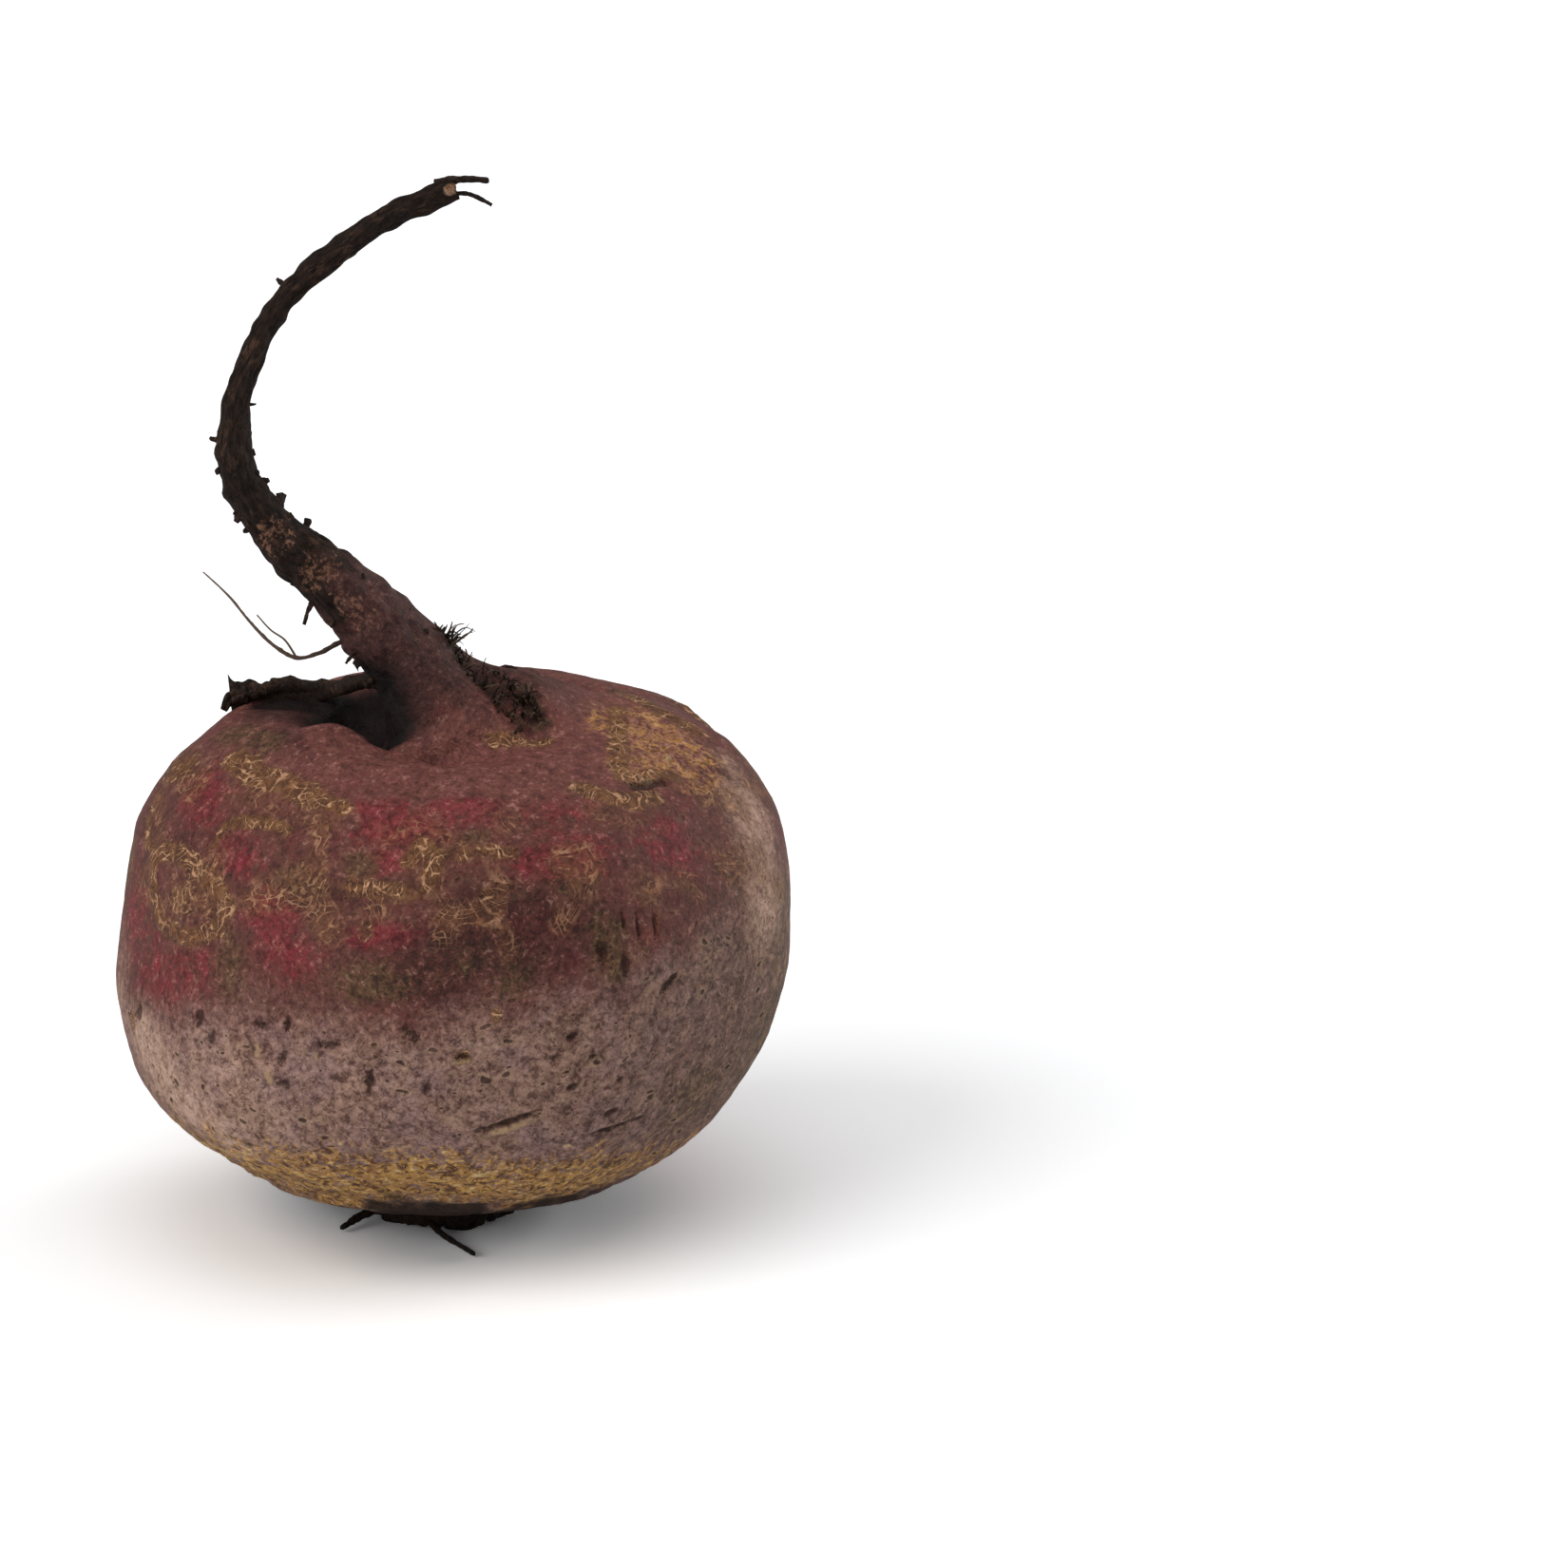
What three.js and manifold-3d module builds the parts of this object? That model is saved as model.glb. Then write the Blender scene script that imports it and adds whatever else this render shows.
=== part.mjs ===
// A whole beetroot, standing upside down on its trimmed crown with its curved tap root up.
// It grew as one piece, so it is one solid: the swollen bulb, the tap root with its torn tip, the rootlets in the
// two root furrows, and the cut leaf-stalk stubs of the crown.
// Millimetres, +Z up. The origin is the centre of the flat spot that the crown rests on,
// -Y is the side that faces a viewer and +X is to the viewer's right.
import * as THREE from "three";
import { mergeVertices } from "three/addons/utils/BufferGeometryUtils.js";
import Module from "manifold-3d";

// Driving dimensions. Each station of the body's spine is a ring: centre x, y, z and radius.
const CROWN_STATIONS = [
  [0.0, 0.0, 2.5, 8.0],
  [0.0, 0.0, 2.7, 11.0],
  [0.1, 0.0, 3.1, 15.5],
];
const BULB_STATIONS = [
  [0.3, 0.0, 4.2, 20.2],
  [0.3, 0.0, 8.2, 26.6],
  [0.4, 0.0, 13.8, 32.4],
  [0.7, 0.0, 21.2, 37.3],
  [1.5, 0.0, 30.5, 39.3],
  [2.2, -0.1, 40.0, 38.5],
  [2.1, -0.3, 48.2, 36.6],
  [1.8, -0.5, 54.6, 32.2],
  [1.6, -0.8, 58.6, 26.6],
  [1.5, -1.1, 60.8, 20.4],
];
const NECK_STATIONS = [
  [1.2, -1.7, 61.6, 14.6],
  [0.6, -2.3, 62.3, 10.2],
  [-0.5, -2.9, 63.9, 7.4],
];
const TAP_ROOT_STATIONS = [
  [-2.3, -3.7, 66.5, 6.1],
  [-5.0, -4.6, 70.2, 4.9],
  [-8.8, -5.6, 75.2, 3.9],
  [-13.4, -6.8, 79.9, 3.25],
  [-17.5, -7.7, 84.1, 2.5],
  [-20.5, -8.2, 88.3, 2.2],
  [-22.0, -8.1, 93.0, 2.05],
  [-21.9, -7.2, 98.0, 1.65],
  [-20.0, -5.4, 104.0, 1.3],
  [-16.6, -3.0, 109.9, 1.4],
  [-11.1, -0.4, 114.5, 1.4],
  [-4.6, 2.2, 118.5, 1.35],
  [2.6, 4.6, 121.2, 1.45],
];
const CROWN_LEAN = new THREE.Vector3(0, 0.11, 1).normalize(); // the way the underside's rings face
const BULB_LEAN = new THREE.Vector3(-0.03, -0.06, 1).normalize(); // the way the bulb's girth faces
const DEPTH_SHARE = 0.96; // the bulb's depth along Y as a share of its width
const ROWS_PER_STATION = 3;
const BULB_SIDES = 64;
const ROOT_SIDES = 16;

// Slow lumps of the bulb: wave direction in radians per millimetre, phase and height.
const LUMPS = [
  [0.11, 0.07, 0.05, 0.4, 0.45],
  [-0.06, 0.13, 0.09, 1.9, 0.4],
  [0.05, -0.1, 0.15, 3.1, 0.35],
  [0.19, 0.14, -0.06, 4.4, 0.2],
  [0.2, -0.15, 0.12, 5.2, 0.2],
];
// Hollows sunk into the skin: two ends, radius and depth. The first two are the root furrows beside the neck.
const HOLLOWS = [
  [[-6.0, -5.0, 65.0], [-8.4, -8.6, 61.0], 3.8, 3.4],
  [[3.6, -6.4, 67.2], [11.4, -11.6, 61.6], 2.0, 2.0],
  [[9.0, 6.0, 63.0], [22.0, 12.0, 60.0], 4.0, 0.9],
  [[-14.0, 10.0, 61.0], [-26.0, 16.0, 57.0], 5.0, 0.8],
];
// Corky steps round the crown: they fade out between these two heights.
const STEP_PITCH = 3.3;
const STEP_HEIGHT = 0.28;
const STEP_FADE = [6.5, 12.0];

// The crown: leaf-stalk stubs cut off with one stroke, in two whorls round the growing point.
const CORE_RADIUS = 2.5;
const STUB_ROOT_Z = 5.0;
const WHORLS = [
  { count: 9, radius: 7.2, width: 4.6, thickness: 2.1, turn: 0.2, short: [0, 0, 0.7, 0, 0.3, 0, 1.1, 0, 0.4] },
  { count: 6, radius: 4.1, width: 3.6, thickness: 1.5, turn: 0.5, short: [0.5, 0.2, 0.9, 0.3, 0.6, 0.2] },
];

// What grows from the body: hand-placed roots as a list of points with a radius at each end.
const SIDE_ROOT = [[-5.5, -1.0, 65.4], [-12.5, 4.0, 62.2], [-18.5, 6.4, 61.1], [-23.0, 6.6, 59.7], [-25.0, 6.0, 59.7]];
const SIDE_ROOT_KNOB = [[-23.4, 6.4, 60.9], [-24.8, 6.0, 60.2], [-25.0, 5.6, 58.6]];
const WHISKER = [
  [-7.5, -5.0, 71.2], [-10.6, -5.4, 70.6], [-13.2, -6.0, 69.4], [-15.6, -6.5, 69.0],
  [-18.2, -6.9, 70.6], [-20.6, -7.1, 73.2], [-23.2, -7.2, 76.6], [-26.0, -7.2, 79.4],
];
const WHISKER_FORK = [[-15.6, -6.5, 69.0], [-17.0, -5.4, 71.4], [-19.0, -4.6, 72.6], [-21.4, -4.0, 75.2]];
const HOOK = [[-11.6, -6.6, 76.4], [-13.8, -7.6, 75.6], [-14.6, -8.0, 73.4]];
const TIP_SPLINTERS = [
  [[0.4, 4.0, 121.5], [3.6, 4.9, 122.4], [6.6, 5.6, 122.0]],
  [[1.6, 4.4, 120.4], [4.4, 5.0, 120.2], [7.0, 4.4, 119.2]],
];
const CROWN_SHREDS = [
  [[-2.0, -6.0, 1.6], [-0.4, -10.0, 0.9], [4.2, -17.0, 0.6]],
  [[-6.0, -4.0, 1.8], [-9.4, -6.2, 1.2], [-11.6, -8.6, 0.6]],
  [[6.2, 3.0, 1.8], [10.2, 5.2, 1.1], [13.6, 5.4, 0.6]],
  [[-3.0, 6.6, 1.8], [-5.0, 10.4, 1.0], [-4.4, 14.2, 0.6]],
];

// Small repeats, placed by rule along the tap root and in its furrows.
const SEED = 11;
const NUB_COUNT = 14;
const NUB_REACH = [0.35, 1.3];
const TUFT_COUNT = 20;
const TUFT_FROM = [0.6, -4.4, 70.2];
const TUFT_TO = [11.0, -10.2, 62.0];
const TUFT_LENGTH = [1.8, 4.2];
const HAIR_RADIUS = 0.42;

const wasm = await Module();
wasm.setup();

const vector = (p) => new THREE.Vector3(...p);
const { lerp, smoothstep } = THREE.MathUtils;

// A repeatable draw from 0 to 1.
let drawState = SEED;
function draw() {
  drawState = (drawState * 1103515245 + 12345) % 2147483648;
  return drawState / 2147483648;
}

// A closed surface through rings of points, from the lowest to the highest, with a centre point closing each end.
// Two neighbouring rings may differ in how many points they have.
function loft(rings) {
  const positions = [];
  const faces = [];
  const ids = rings.map((ring) => ring.map((point) => positions.push(point.x, point.y, point.z) / 3 - 1));
  for (let row = 0; row < rings.length - 1; row++) {
    const [low, high] = [ids[row], ids[row + 1]];
    let a = 0;
    let b = 0;
    while (a < low.length || b < high.length) {
      if ((a + 1) * high.length <= (b + 1) * low.length) {
        faces.push(low[a], low[(a + 1) % low.length], high[b % high.length]);
        a += 1;
      } else {
        faces.push(low[a % low.length], high[(b + 1) % high.length], high[b]);
        b += 1;
      }
    }
  }
  for (const end of [0, rings.length - 1]) {
    const [ring, id] = [rings[end], ids[end]];
    const middle = new THREE.Vector3();
    for (const point of ring) middle.addScaledVector(point, 1 / ring.length);
    const tip = positions.push(middle.x, middle.y, middle.z) / 3 - 1;
    for (let side = 0; side < ring.length; side++) {
      const next = (side + 1) % ring.length;
      faces.push(tip, end ? id[side] : id[next], end ? id[next] : id[side]);
    }
  }
  const geometry = new THREE.BufferGeometry();
  geometry.setAttribute("position", new THREE.Float32BufferAttribute(positions, 3));
  geometry.setIndex(faces);
  return geometry;
}

function solidOf(geometry) {
  geometry.deleteAttribute("normal");
  const merged = mergeVertices(geometry, 1e-4);
  const mesh = new wasm.Mesh({
    numProp: 3,
    vertProperties: merged.attributes.position.array,
    triVerts: new Uint32Array(merged.index.array),
  });
  return new wasm.Manifold(mesh);
}

function geometryOf(solid) {
  const mesh = solid.getMesh();
  const geometry = new THREE.BufferGeometry();
  geometry.setAttribute("position", new THREE.Float32BufferAttribute(mesh.vertProperties, 3));
  geometry.setIndex(new THREE.Uint32BufferAttribute(mesh.triVerts, 1));
  geometry.computeVertexNormals();
  return geometry;
}

// The body: one loft from the crown through the bulb and the neck to the tip of the tap root.
const stations = [...CROWN_STATIONS, ...BULB_STATIONS, ...NECK_STATIONS, ...TAP_ROOT_STATIONS];
const lastStation = stations.length - 1;
const neckStart = CROWN_STATIONS.length + BULB_STATIONS.length - 1;
const rootStart = neckStart + NECK_STATIONS.length;
const spine = new THREE.CatmullRomCurve3(stations.map(([x, y, z]) => new THREE.Vector3(x, y, z)));
const girth = new THREE.CatmullRomCurve3(stations.map((s, i) => new THREE.Vector3(i, s[3], 0)));

// A ring's frame: it faces up, with a slight lean, in the crown and bulb, and along the spine in the root.
function frameAt(station) {
  const along = spine.getTangent(station / lastStation);
  const up = CROWN_LEAN.clone().lerp(BULB_LEAN, smoothstep(station, 3, 7));
  up.lerp(along, smoothstep(station, neckStart, rootStart)).normalize();
  const away = new THREE.Vector3(0, 1, 0).addScaledVector(up, -up.y).normalize();
  const right = new THREE.Vector3().crossVectors(away, up);
  return { centre: spine.getPoint(station / lastStation), up, away, right };
}

function onRing(station, angle, radius) {
  const { centre, away, right } = frameAt(station);
  const depth = lerp(DEPTH_SHARE, 1, smoothstep(station, neckStart, rootStart));
  centre.addScaledVector(right, radius * Math.cos(angle));
  return centre.addScaledVector(away, radius * depth * Math.sin(angle));
}

function distanceToLine(point, from, to) {
  const line = new THREE.Line3(vector(from), vector(to));
  return line.closestPointToPoint(point, true, new THREE.Vector3()).distanceTo(point);
}

// How far the skin stands out of the plain loft at a point, along its normal.
function relief(point) {
  const onBulb = smoothstep(point.z, 4, 12) * (1 - smoothstep(point.z, 60, 68));
  let height = 0;
  for (const [kx, ky, kz, phase, rise] of LUMPS) {
    height += onBulb * rise * Math.sin(kx * point.x + ky * point.y + kz * point.z + phase);
  }
  for (const [from, to, radius, depth] of HOLLOWS) {
    height -= depth * Math.exp(-((distanceToLine(point, from, to) / radius) ** 2));
  }
  const steps = smoothstep(point.z, 3.2, 4.4) * (1 - smoothstep(point.z, ...STEP_FADE));
  const fromAxis = Math.hypot(point.x, point.y);
  height += steps * STEP_HEIGHT * Math.sin((2 * Math.PI * fromAxis) / STEP_PITCH);
  return height;
}

function body() {
  const rings = [];
  for (let row = 0; row <= lastStation * ROWS_PER_STATION; row++) {
    const station = row / ROWS_PER_STATION;
    const radius = girth.getPoint(station / lastStation).y;
    const sides = station <= neckStart + 1 ? BULB_SIDES : station < rootStart ? BULB_SIDES / 2 : ROOT_SIDES;
    const angles = Array.from({ length: sides }, (_, side) => (2 * Math.PI * side) / sides);
    rings.push(angles.map((angle) => onRing(station, angle, radius)));
  }
  const geometry = loft(rings);
  geometry.computeVertexNormals();
  const { position, normal } = geometry.attributes;
  for (let i = 0; i < position.count; i++) {
    const point = new THREE.Vector3().fromBufferAttribute(position, i);
    const out = new THREE.Vector3().fromBufferAttribute(normal, i);
    point.addScaledVector(out, relief(point));
    position.setXYZ(i, point.x, point.y, point.z);
  }
  return solidOf(geometry);
}

// A round root that follows points and tapers from one radius to another.
function rootlet(points, fromRadius, toRadius, sides = 5) {
  const curve = new THREE.CatmullRomCurve3(points.map(vector));
  const rows = 2 * (points.length - 1);
  const { normals, binormals } = curve.computeFrenetFrames(rows, false);
  const rings = [];
  for (let row = 0; row <= rows; row++) {
    const radius = lerp(fromRadius, toRadius, row / rows);
    const ring = [];
    for (let side = 0; side < sides; side++) {
      const angle = (2 * Math.PI * side) / sides;
      const point = curve.getPointAt(row / rows);
      point.addScaledVector(normals[row], radius * Math.cos(angle));
      ring.push(point.addScaledVector(binormals[row], radius * Math.sin(angle)));
    }
    rings.push(ring);
  }
  return solidOf(loft(rings));
}

// Stumps of broken rootlets along both sides of the tap root.
function nubs() {
  return Array.from({ length: NUB_COUNT }, (_, i) => {
    const station = lerp(rootStart, lastStation - 2, (i + draw()) / NUB_COUNT);
    const side = i % 2 ? Math.PI : 0;
    const angle = side + 1.4 * (draw() - 0.5);
    const radius = girth.getPoint(station / lastStation).y;
    const reach = radius + lerp(...NUB_REACH, draw() ** 2);
    const root = onRing(station, angle, 0.4 * radius);
    const end = onRing(station + 0.25, angle, reach);
    const middle = root.clone().lerp(end, 0.5);
    return rootlet([root.toArray(), middle.toArray(), end.toArray()], 0.9, 0.4);
  });
}

// The dark tuft of short curled rootlets in the furrow beside the neck.
function tuft() {
  return Array.from({ length: TUFT_COUNT }, (_, i) => {
    const root = vector(TUFT_FROM).lerp(vector(TUFT_TO), (i + draw()) / TUFT_COUNT);
    root.z += 1.6 * (draw() - 0.5);
    root.y += 2.2 * (draw() - 0.5);
    const length = lerp(...TUFT_LENGTH, draw());
    const reach = new THREE.Vector3(0.5 + 0.7 * draw(), 0.9 * (draw() - 0.7), 0.7 * draw() + 0.3).normalize();
    const curl = new THREE.Vector3(draw() - 0.5, draw() - 0.5, draw() - 0.2);
    const start = root.clone().addScaledVector(reach, -2.2);
    const middle = root.clone().addScaledVector(reach, 0.55 * length).addScaledVector(curl, 0.4);
    const end = root.clone().addScaledVector(reach, length).addScaledVector(curl, 1.5);
    return rootlet([start.toArray(), middle.toArray(), end.toArray()], HAIR_RADIUS, 0.3, 4);
  });
}

// One leaf-stalk stub: a crescent section, its hollow side towards the crown's middle.
function stub({ radius, width, thickness }, angle, endZ) {
  const half = width / 2;
  const arc = [-1, -0.55, 0, 0.55, 1];
  const outer = arc.map((t) => [radius + thickness * (0.5 - 0.5 * t * t), t * half]);
  const inner = arc.slice(1, -1).reverse().map((t) => [radius - thickness * (0.5 + 0.3 * t * t) + 0.5, t * 0.8 * half]);
  const rings = [];
  for (const [z, spread] of [[endZ, 1.05], [0.5 * (endZ + STUB_ROOT_Z), 1.0], [STUB_ROOT_Z, 0.94]]) {
    rings.push([...outer, ...inner].map(([out, across]) => {
      const point = new THREE.Vector3(out * spread, across, z);
      return point.applyAxisAngle(new THREE.Vector3(0, 0, 1), angle);
    }));
  }
  return solidOf(loft(rings));
}

function crown() {
  const core = new THREE.CylinderGeometry(CORE_RADIUS * 1.15, CORE_RADIUS, STUB_ROOT_Z, 14);
  core.deleteAttribute("uv");
  core.rotateX(Math.PI / 2);
  core.translate(0, 0, STUB_ROOT_Z / 2);
  const stubs = WHORLS.flatMap((whorl) =>
    whorl.short.map((short, i) => stub(whorl, whorl.turn + (2 * Math.PI * i) / whorl.count, short)),
  );
  return [solidOf(core), ...stubs, ...CROWN_SHREDS.map((shred) => rootlet(shred, 0.9, 0.5))];
}

let solid = body();
const grown = [
  ...crown(),
  ...nubs(),
  ...tuft(),
  ...TIP_SPLINTERS.map((splinter) => rootlet(splinter, 0.75, 0.35)),
  rootlet(SIDE_ROOT, 1.3, 0.6, 7),
  rootlet(SIDE_ROOT_KNOB, 1.1, 0.9, 7),
  rootlet(WHISKER, 0.6, 0.3),
  rootlet(WHISKER_FORK, 0.35, 0.3),
  rootlet(HOOK, 0.5, 0.32),
];
for (const piece of grown) solid = solid.add(piece);

const skin = new THREE.MeshStandardMaterial({ color: 0x6b4145, roughness: 0.75, metalness: 0 });
const beetroot = new THREE.Mesh(geometryOf(solid), skin);
beetroot.name = "beetroot";

const part = new THREE.Group();
part.add(beetroot);
export default part;
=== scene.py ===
import math
import random

import bmesh
import bpy
import numpy as np
from mathutils import Matrix, Vector, noise
from mathutils.bvhtree import BVHTree


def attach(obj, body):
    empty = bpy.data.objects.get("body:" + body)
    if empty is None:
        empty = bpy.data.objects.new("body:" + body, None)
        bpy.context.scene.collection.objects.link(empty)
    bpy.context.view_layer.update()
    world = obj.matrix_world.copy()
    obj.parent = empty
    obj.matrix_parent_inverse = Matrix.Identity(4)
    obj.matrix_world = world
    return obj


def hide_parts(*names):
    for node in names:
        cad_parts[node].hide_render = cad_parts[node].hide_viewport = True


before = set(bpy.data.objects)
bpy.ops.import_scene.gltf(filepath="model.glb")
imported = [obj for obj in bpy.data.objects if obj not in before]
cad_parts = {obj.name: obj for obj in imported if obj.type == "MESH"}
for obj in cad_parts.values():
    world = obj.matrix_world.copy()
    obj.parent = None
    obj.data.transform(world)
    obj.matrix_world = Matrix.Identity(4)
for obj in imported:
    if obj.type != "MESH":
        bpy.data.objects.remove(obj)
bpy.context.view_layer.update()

mm = 0.001  # sizes below are in millimetres, and each finished mesh is scaled by this
studio = dict(
    cameraPlace=(39.9, -798.3, 296.1), cameraDrop=17, lens=166, sensor=36,
    floorSize=6000, floorTint=(0.93, 0.955, 1.0), floorBounce=0.85, floorSeen=1.57,
    skyLight=0.235, lampColour=(1.0, 0.97, 0.92),
)

body = dict(
    # the spine, as the solid has it: centre x, y, z and radius of each ring from the crown to the tip
    stations=[
        (0.0, 0.0, 2.5, 8.0), (0.0, 0.0, 2.7, 11.0), (0.1, 0.0, 3.1, 15.5), (0.3, 0.0, 4.2, 20.2),
        (0.3, 0.0, 8.2, 26.6), (0.4, 0.0, 13.8, 32.4), (0.7, 0.0, 21.2, 37.3), (1.5, 0.0, 30.5, 39.3),
        (2.2, -0.1, 40.0, 38.5), (2.1, -0.3, 48.2, 36.6), (1.8, -0.5, 54.6, 32.2),
        (1.6, -0.8, 58.6, 26.6), (1.5, -1.1, 60.8, 20.4), (1.2, -1.7, 61.6, 14.6),
        (0.6, -2.3, 62.3, 10.2), (-0.5, -2.9, 63.9, 7.4), (-2.3, -3.7, 66.5, 6.1),
        (-5.0, -4.6, 70.2, 4.9), (-8.8, -5.6, 75.2, 3.9), (-13.4, -6.8, 79.9, 3.25),
        (-17.5, -7.7, 84.1, 2.5), (-20.5, -8.2, 88.3, 2.2), (-22.0, -8.1, 93.0, 2.05),
        (-21.9, -7.2, 98.0, 1.65), (-20.0, -5.4, 104.0, 1.3), (-16.6, -3.0, 109.9, 1.4),
        (-11.1, -0.4, 114.5, 1.4), (-4.6, 2.2, 118.5, 1.35), (2.6, 4.6, 121.2, 1.45),
    ],
    # stations, counted along the spine, where the neck and the root begin, and where the finer mesh ends
    neckStart=12, rootStart=15, splitAt=16.5, splitGap=0.08,
    # how the rings lean at the crown and on the bulb, and between which stations that changes
    crownLean=(0, 0.11, 1), bulbLean=(-0.03, -0.06, 1), leanChange=(3, 7), depthShare=0.96,
    bulbSides=400, rootSides=72, rowStep=0.55, rootRowStep=0.42, frontCrowd=0.38,
    underShares=(0.06, 0.94, 14), fibreStretch=3.2,
    # slow lumps: the heights where they begin and end, and each one's wave direction in radians per
    # millimetre, phase and height
    lumpsFrom=(4, 12), lumpsTo=(60, 68),
    lumps=[
        (0.11, 0.07, 0.05, 0.4, 0.45), (-0.06, 0.13, 0.09, 1.9, 0.4), (0.05, -0.1, 0.15, 3.1, 0.35),
        (0.19, 0.14, -0.06, 4.4, 0.2), (0.2, -0.15, 0.12, 5.2, 0.2),
    ],
    # hollows, and ridges of negative depth: two ends, radius and depth
    hollows=[
        ((-5.0, -4.0, 65.5), (-7.6, -1.0, 61.0), 2.8, 1.8),
        ((5.0, -4.4, 69.0), (11.6, -9.2, 61.8), 2.4, 2.0),
        ((9.0, 6.0, 63.0), (22.0, 12.0, 60.0), 4.0, 0.9),
        ((-14.0, 14.0, 61.0), (-24.0, 20.0, 57.0), 5.0, 0.8),
        ((4.0, 6.0, 68.5), (13.0, 10.5, 63.5), 5.2, 4.1),
        ((8.6, 1.2, 67.2), (12.0, 0.4, 66.4), 2.8, 1.8),
        ((19.0, 18.0, 60.4), (28.0, 11.0, 58.6), 6.5, 1.4),
        ((34.0, 0.0, 56.0), (39.0, 0.0, 47.0), 7.0, -0.4),
        ((-12.0, 3.8, 61.0), (-21.0, 6.2, 59.4), 2.8, -0.9),
        ((-24.5, 3.0, 58.2), (-33.0, 0.0, 50.0), 5.5, -0.6),
        ((-12.0, -9.0, 58.6), (-3.5, -12.0, 57.6), 3.6, -3.2),
        ((-7.4, -9.6, 59.6), (-4.0, -10.6, 60.4), 2.6, -1.5),
    ],
    # rings of old leaf scars round the crown
    stepPitch=3.3, stepHeight=0.28, stepStart=(3.2, 4.4), stepFade=(6.5, 12.0),
)


def smoothStep(value, low, high):
    share = np.clip((value - low) / (high - low), 0, 1)
    return share * share * (3 - 2 * share)


def curvePoint(points, place):
    # centripetal curve through points, where place counts them
    last = len(points) - 1
    i = min(int(place), last - 1)
    share = place - i
    here, there = points[i], points[i + 1]
    before = points[i - 1] if i else 2 * here - there
    after = points[i + 2] if i + 2 <= last else 2 * there - here
    stretches = ((before, here), (here, there), (there, after))
    d0, d1, d2 = (math.sqrt((b - a).length) or 1 for a, b in stretches)
    leave = ((here - before) / d0 - (there - before) / (d0 + d1) + (there - here) / d1) * d1
    arrive = ((there - here) / d1 - (after - here) / (d1 + d2) + (after - there) / d2) * d1
    square = 3 * (there - here) - 2 * leave - arrive
    cube = 2 * (here - there) + leave + arrive
    return here + leave * share + square * share**2 + cube * share**3


spine = [Vector(s[:3]) for s in body["stations"]]
girth = [Vector((i, s[3], 0)) for i, s in enumerate(body["stations"])]
lastStation = len(spine) - 1


def ringMatrix(station, share=1.0):
    # takes the unit circle to the body's ring at that station
    nudge = 0.003
    low, high = max(station - nudge, 0), min(station + nudge, lastStation)
    along = (curvePoint(spine, high) - curvePoint(spine, low)).normalized()
    up = Vector(body["crownLean"]).normalized()
    up = up.lerp(Vector(body["bulbLean"]).normalized(), float(smoothStep(station, *body["leanChange"])))
    neck = float(smoothStep(station, body["neckStart"], body["rootStart"]))
    up = up.lerp(along, neck).normalized()
    away = Vector((0, 1, 0))
    away = (away - up * away.dot(up)).normalized()
    right = away.cross(up)
    radius = curvePoint(girth, station).y * share
    depth = body["depthShare"] + (1 - body["depthShare"]) * neck
    turn = Matrix((right * radius, away * radius * depth, up * radius)).transposed().to_4x4()
    return Matrix.Translation(curvePoint(spine, station)) @ turn


def rowPlaces(first, last, step):
    # stations whose rings lie one step apart on the skin
    places = [first]
    quarterTurns, stride = (0, 1.57, 3.14, 4.71), 0.01
    probes = [Vector((math.cos(a), math.sin(a), 0)) for a in quarterTurns]
    station, walked = first, 0.0
    here = [ringMatrix(station) @ p for p in probes]
    while station < last:
        station += stride
        there = [ringMatrix(min(station, last)) @ p for p in probes]
        walked += sum((b - a).length for a, b in zip(here, there)) / len(probes)
        here = there
        if walked >= step:
            places.append(min(station, last))
            walked = 0.0
    return sorted({*places, last})


def ringOf(geom):
    verts = [g for g in geom if isinstance(g, bmesh.types.BMVert)]
    known = set(verts)
    edges = [g for g in geom if isinstance(g, bmesh.types.BMEdge) and known.issuperset(g.verts)]
    return verts, edges


def finishMesh(name, mesh, material):
    mesh.transform(Matrix.Scale(mm, 4))
    mesh.polygons.foreach_set("use_smooth", [True] * len(mesh.polygons))
    mesh.materials.append(material)
    piece = bpy.data.objects.new(name, mesh)
    bpy.context.scene.collection.objects.link(piece)
    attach(piece, "root")
    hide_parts("beetroot")
    return piece


def meshFrom(name, bm):
    bmesh.ops.recalc_face_normals(bm, faces=bm.faces)
    mesh = bpy.data.meshes.new(name)
    bm.to_mesh(mesh)
    bm.free()
    return mesh


def finishPiece(name, bm, material):
    return finishMesh(name, meshFrom(name, bm), material)


def readMesh(mesh, what):
    if what in ("co", "normal"):
        values = np.empty(len(mesh.vertices) * 3)
        if what == "co":
            mesh.vertices.foreach_get("co", values)
        else:
            mesh.vertex_normals.foreach_get("vector", values)
        return values.reshape(-1, 3)
    values = np.empty(len(mesh.vertices))
    mesh.attributes[what].data.foreach_get("value", values)
    return values


def pushOut(mesh, heights):
    place = readMesh(mesh, "co") + readMesh(mesh, "normal") * heights[:, None]
    mesh.vertices.foreach_set("co", place.ravel())
    mesh.update()
    return place


def noiseOn(points, size, shift=0.0):
    return np.array([noise.noise(Vector(p)) for p in points / size + shift])


def noiseSum(points, parts):
    # parts: height, size and shift of each noise
    return sum(height * noiseOn(points, size, shift) for height, size, shift in parts)


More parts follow.
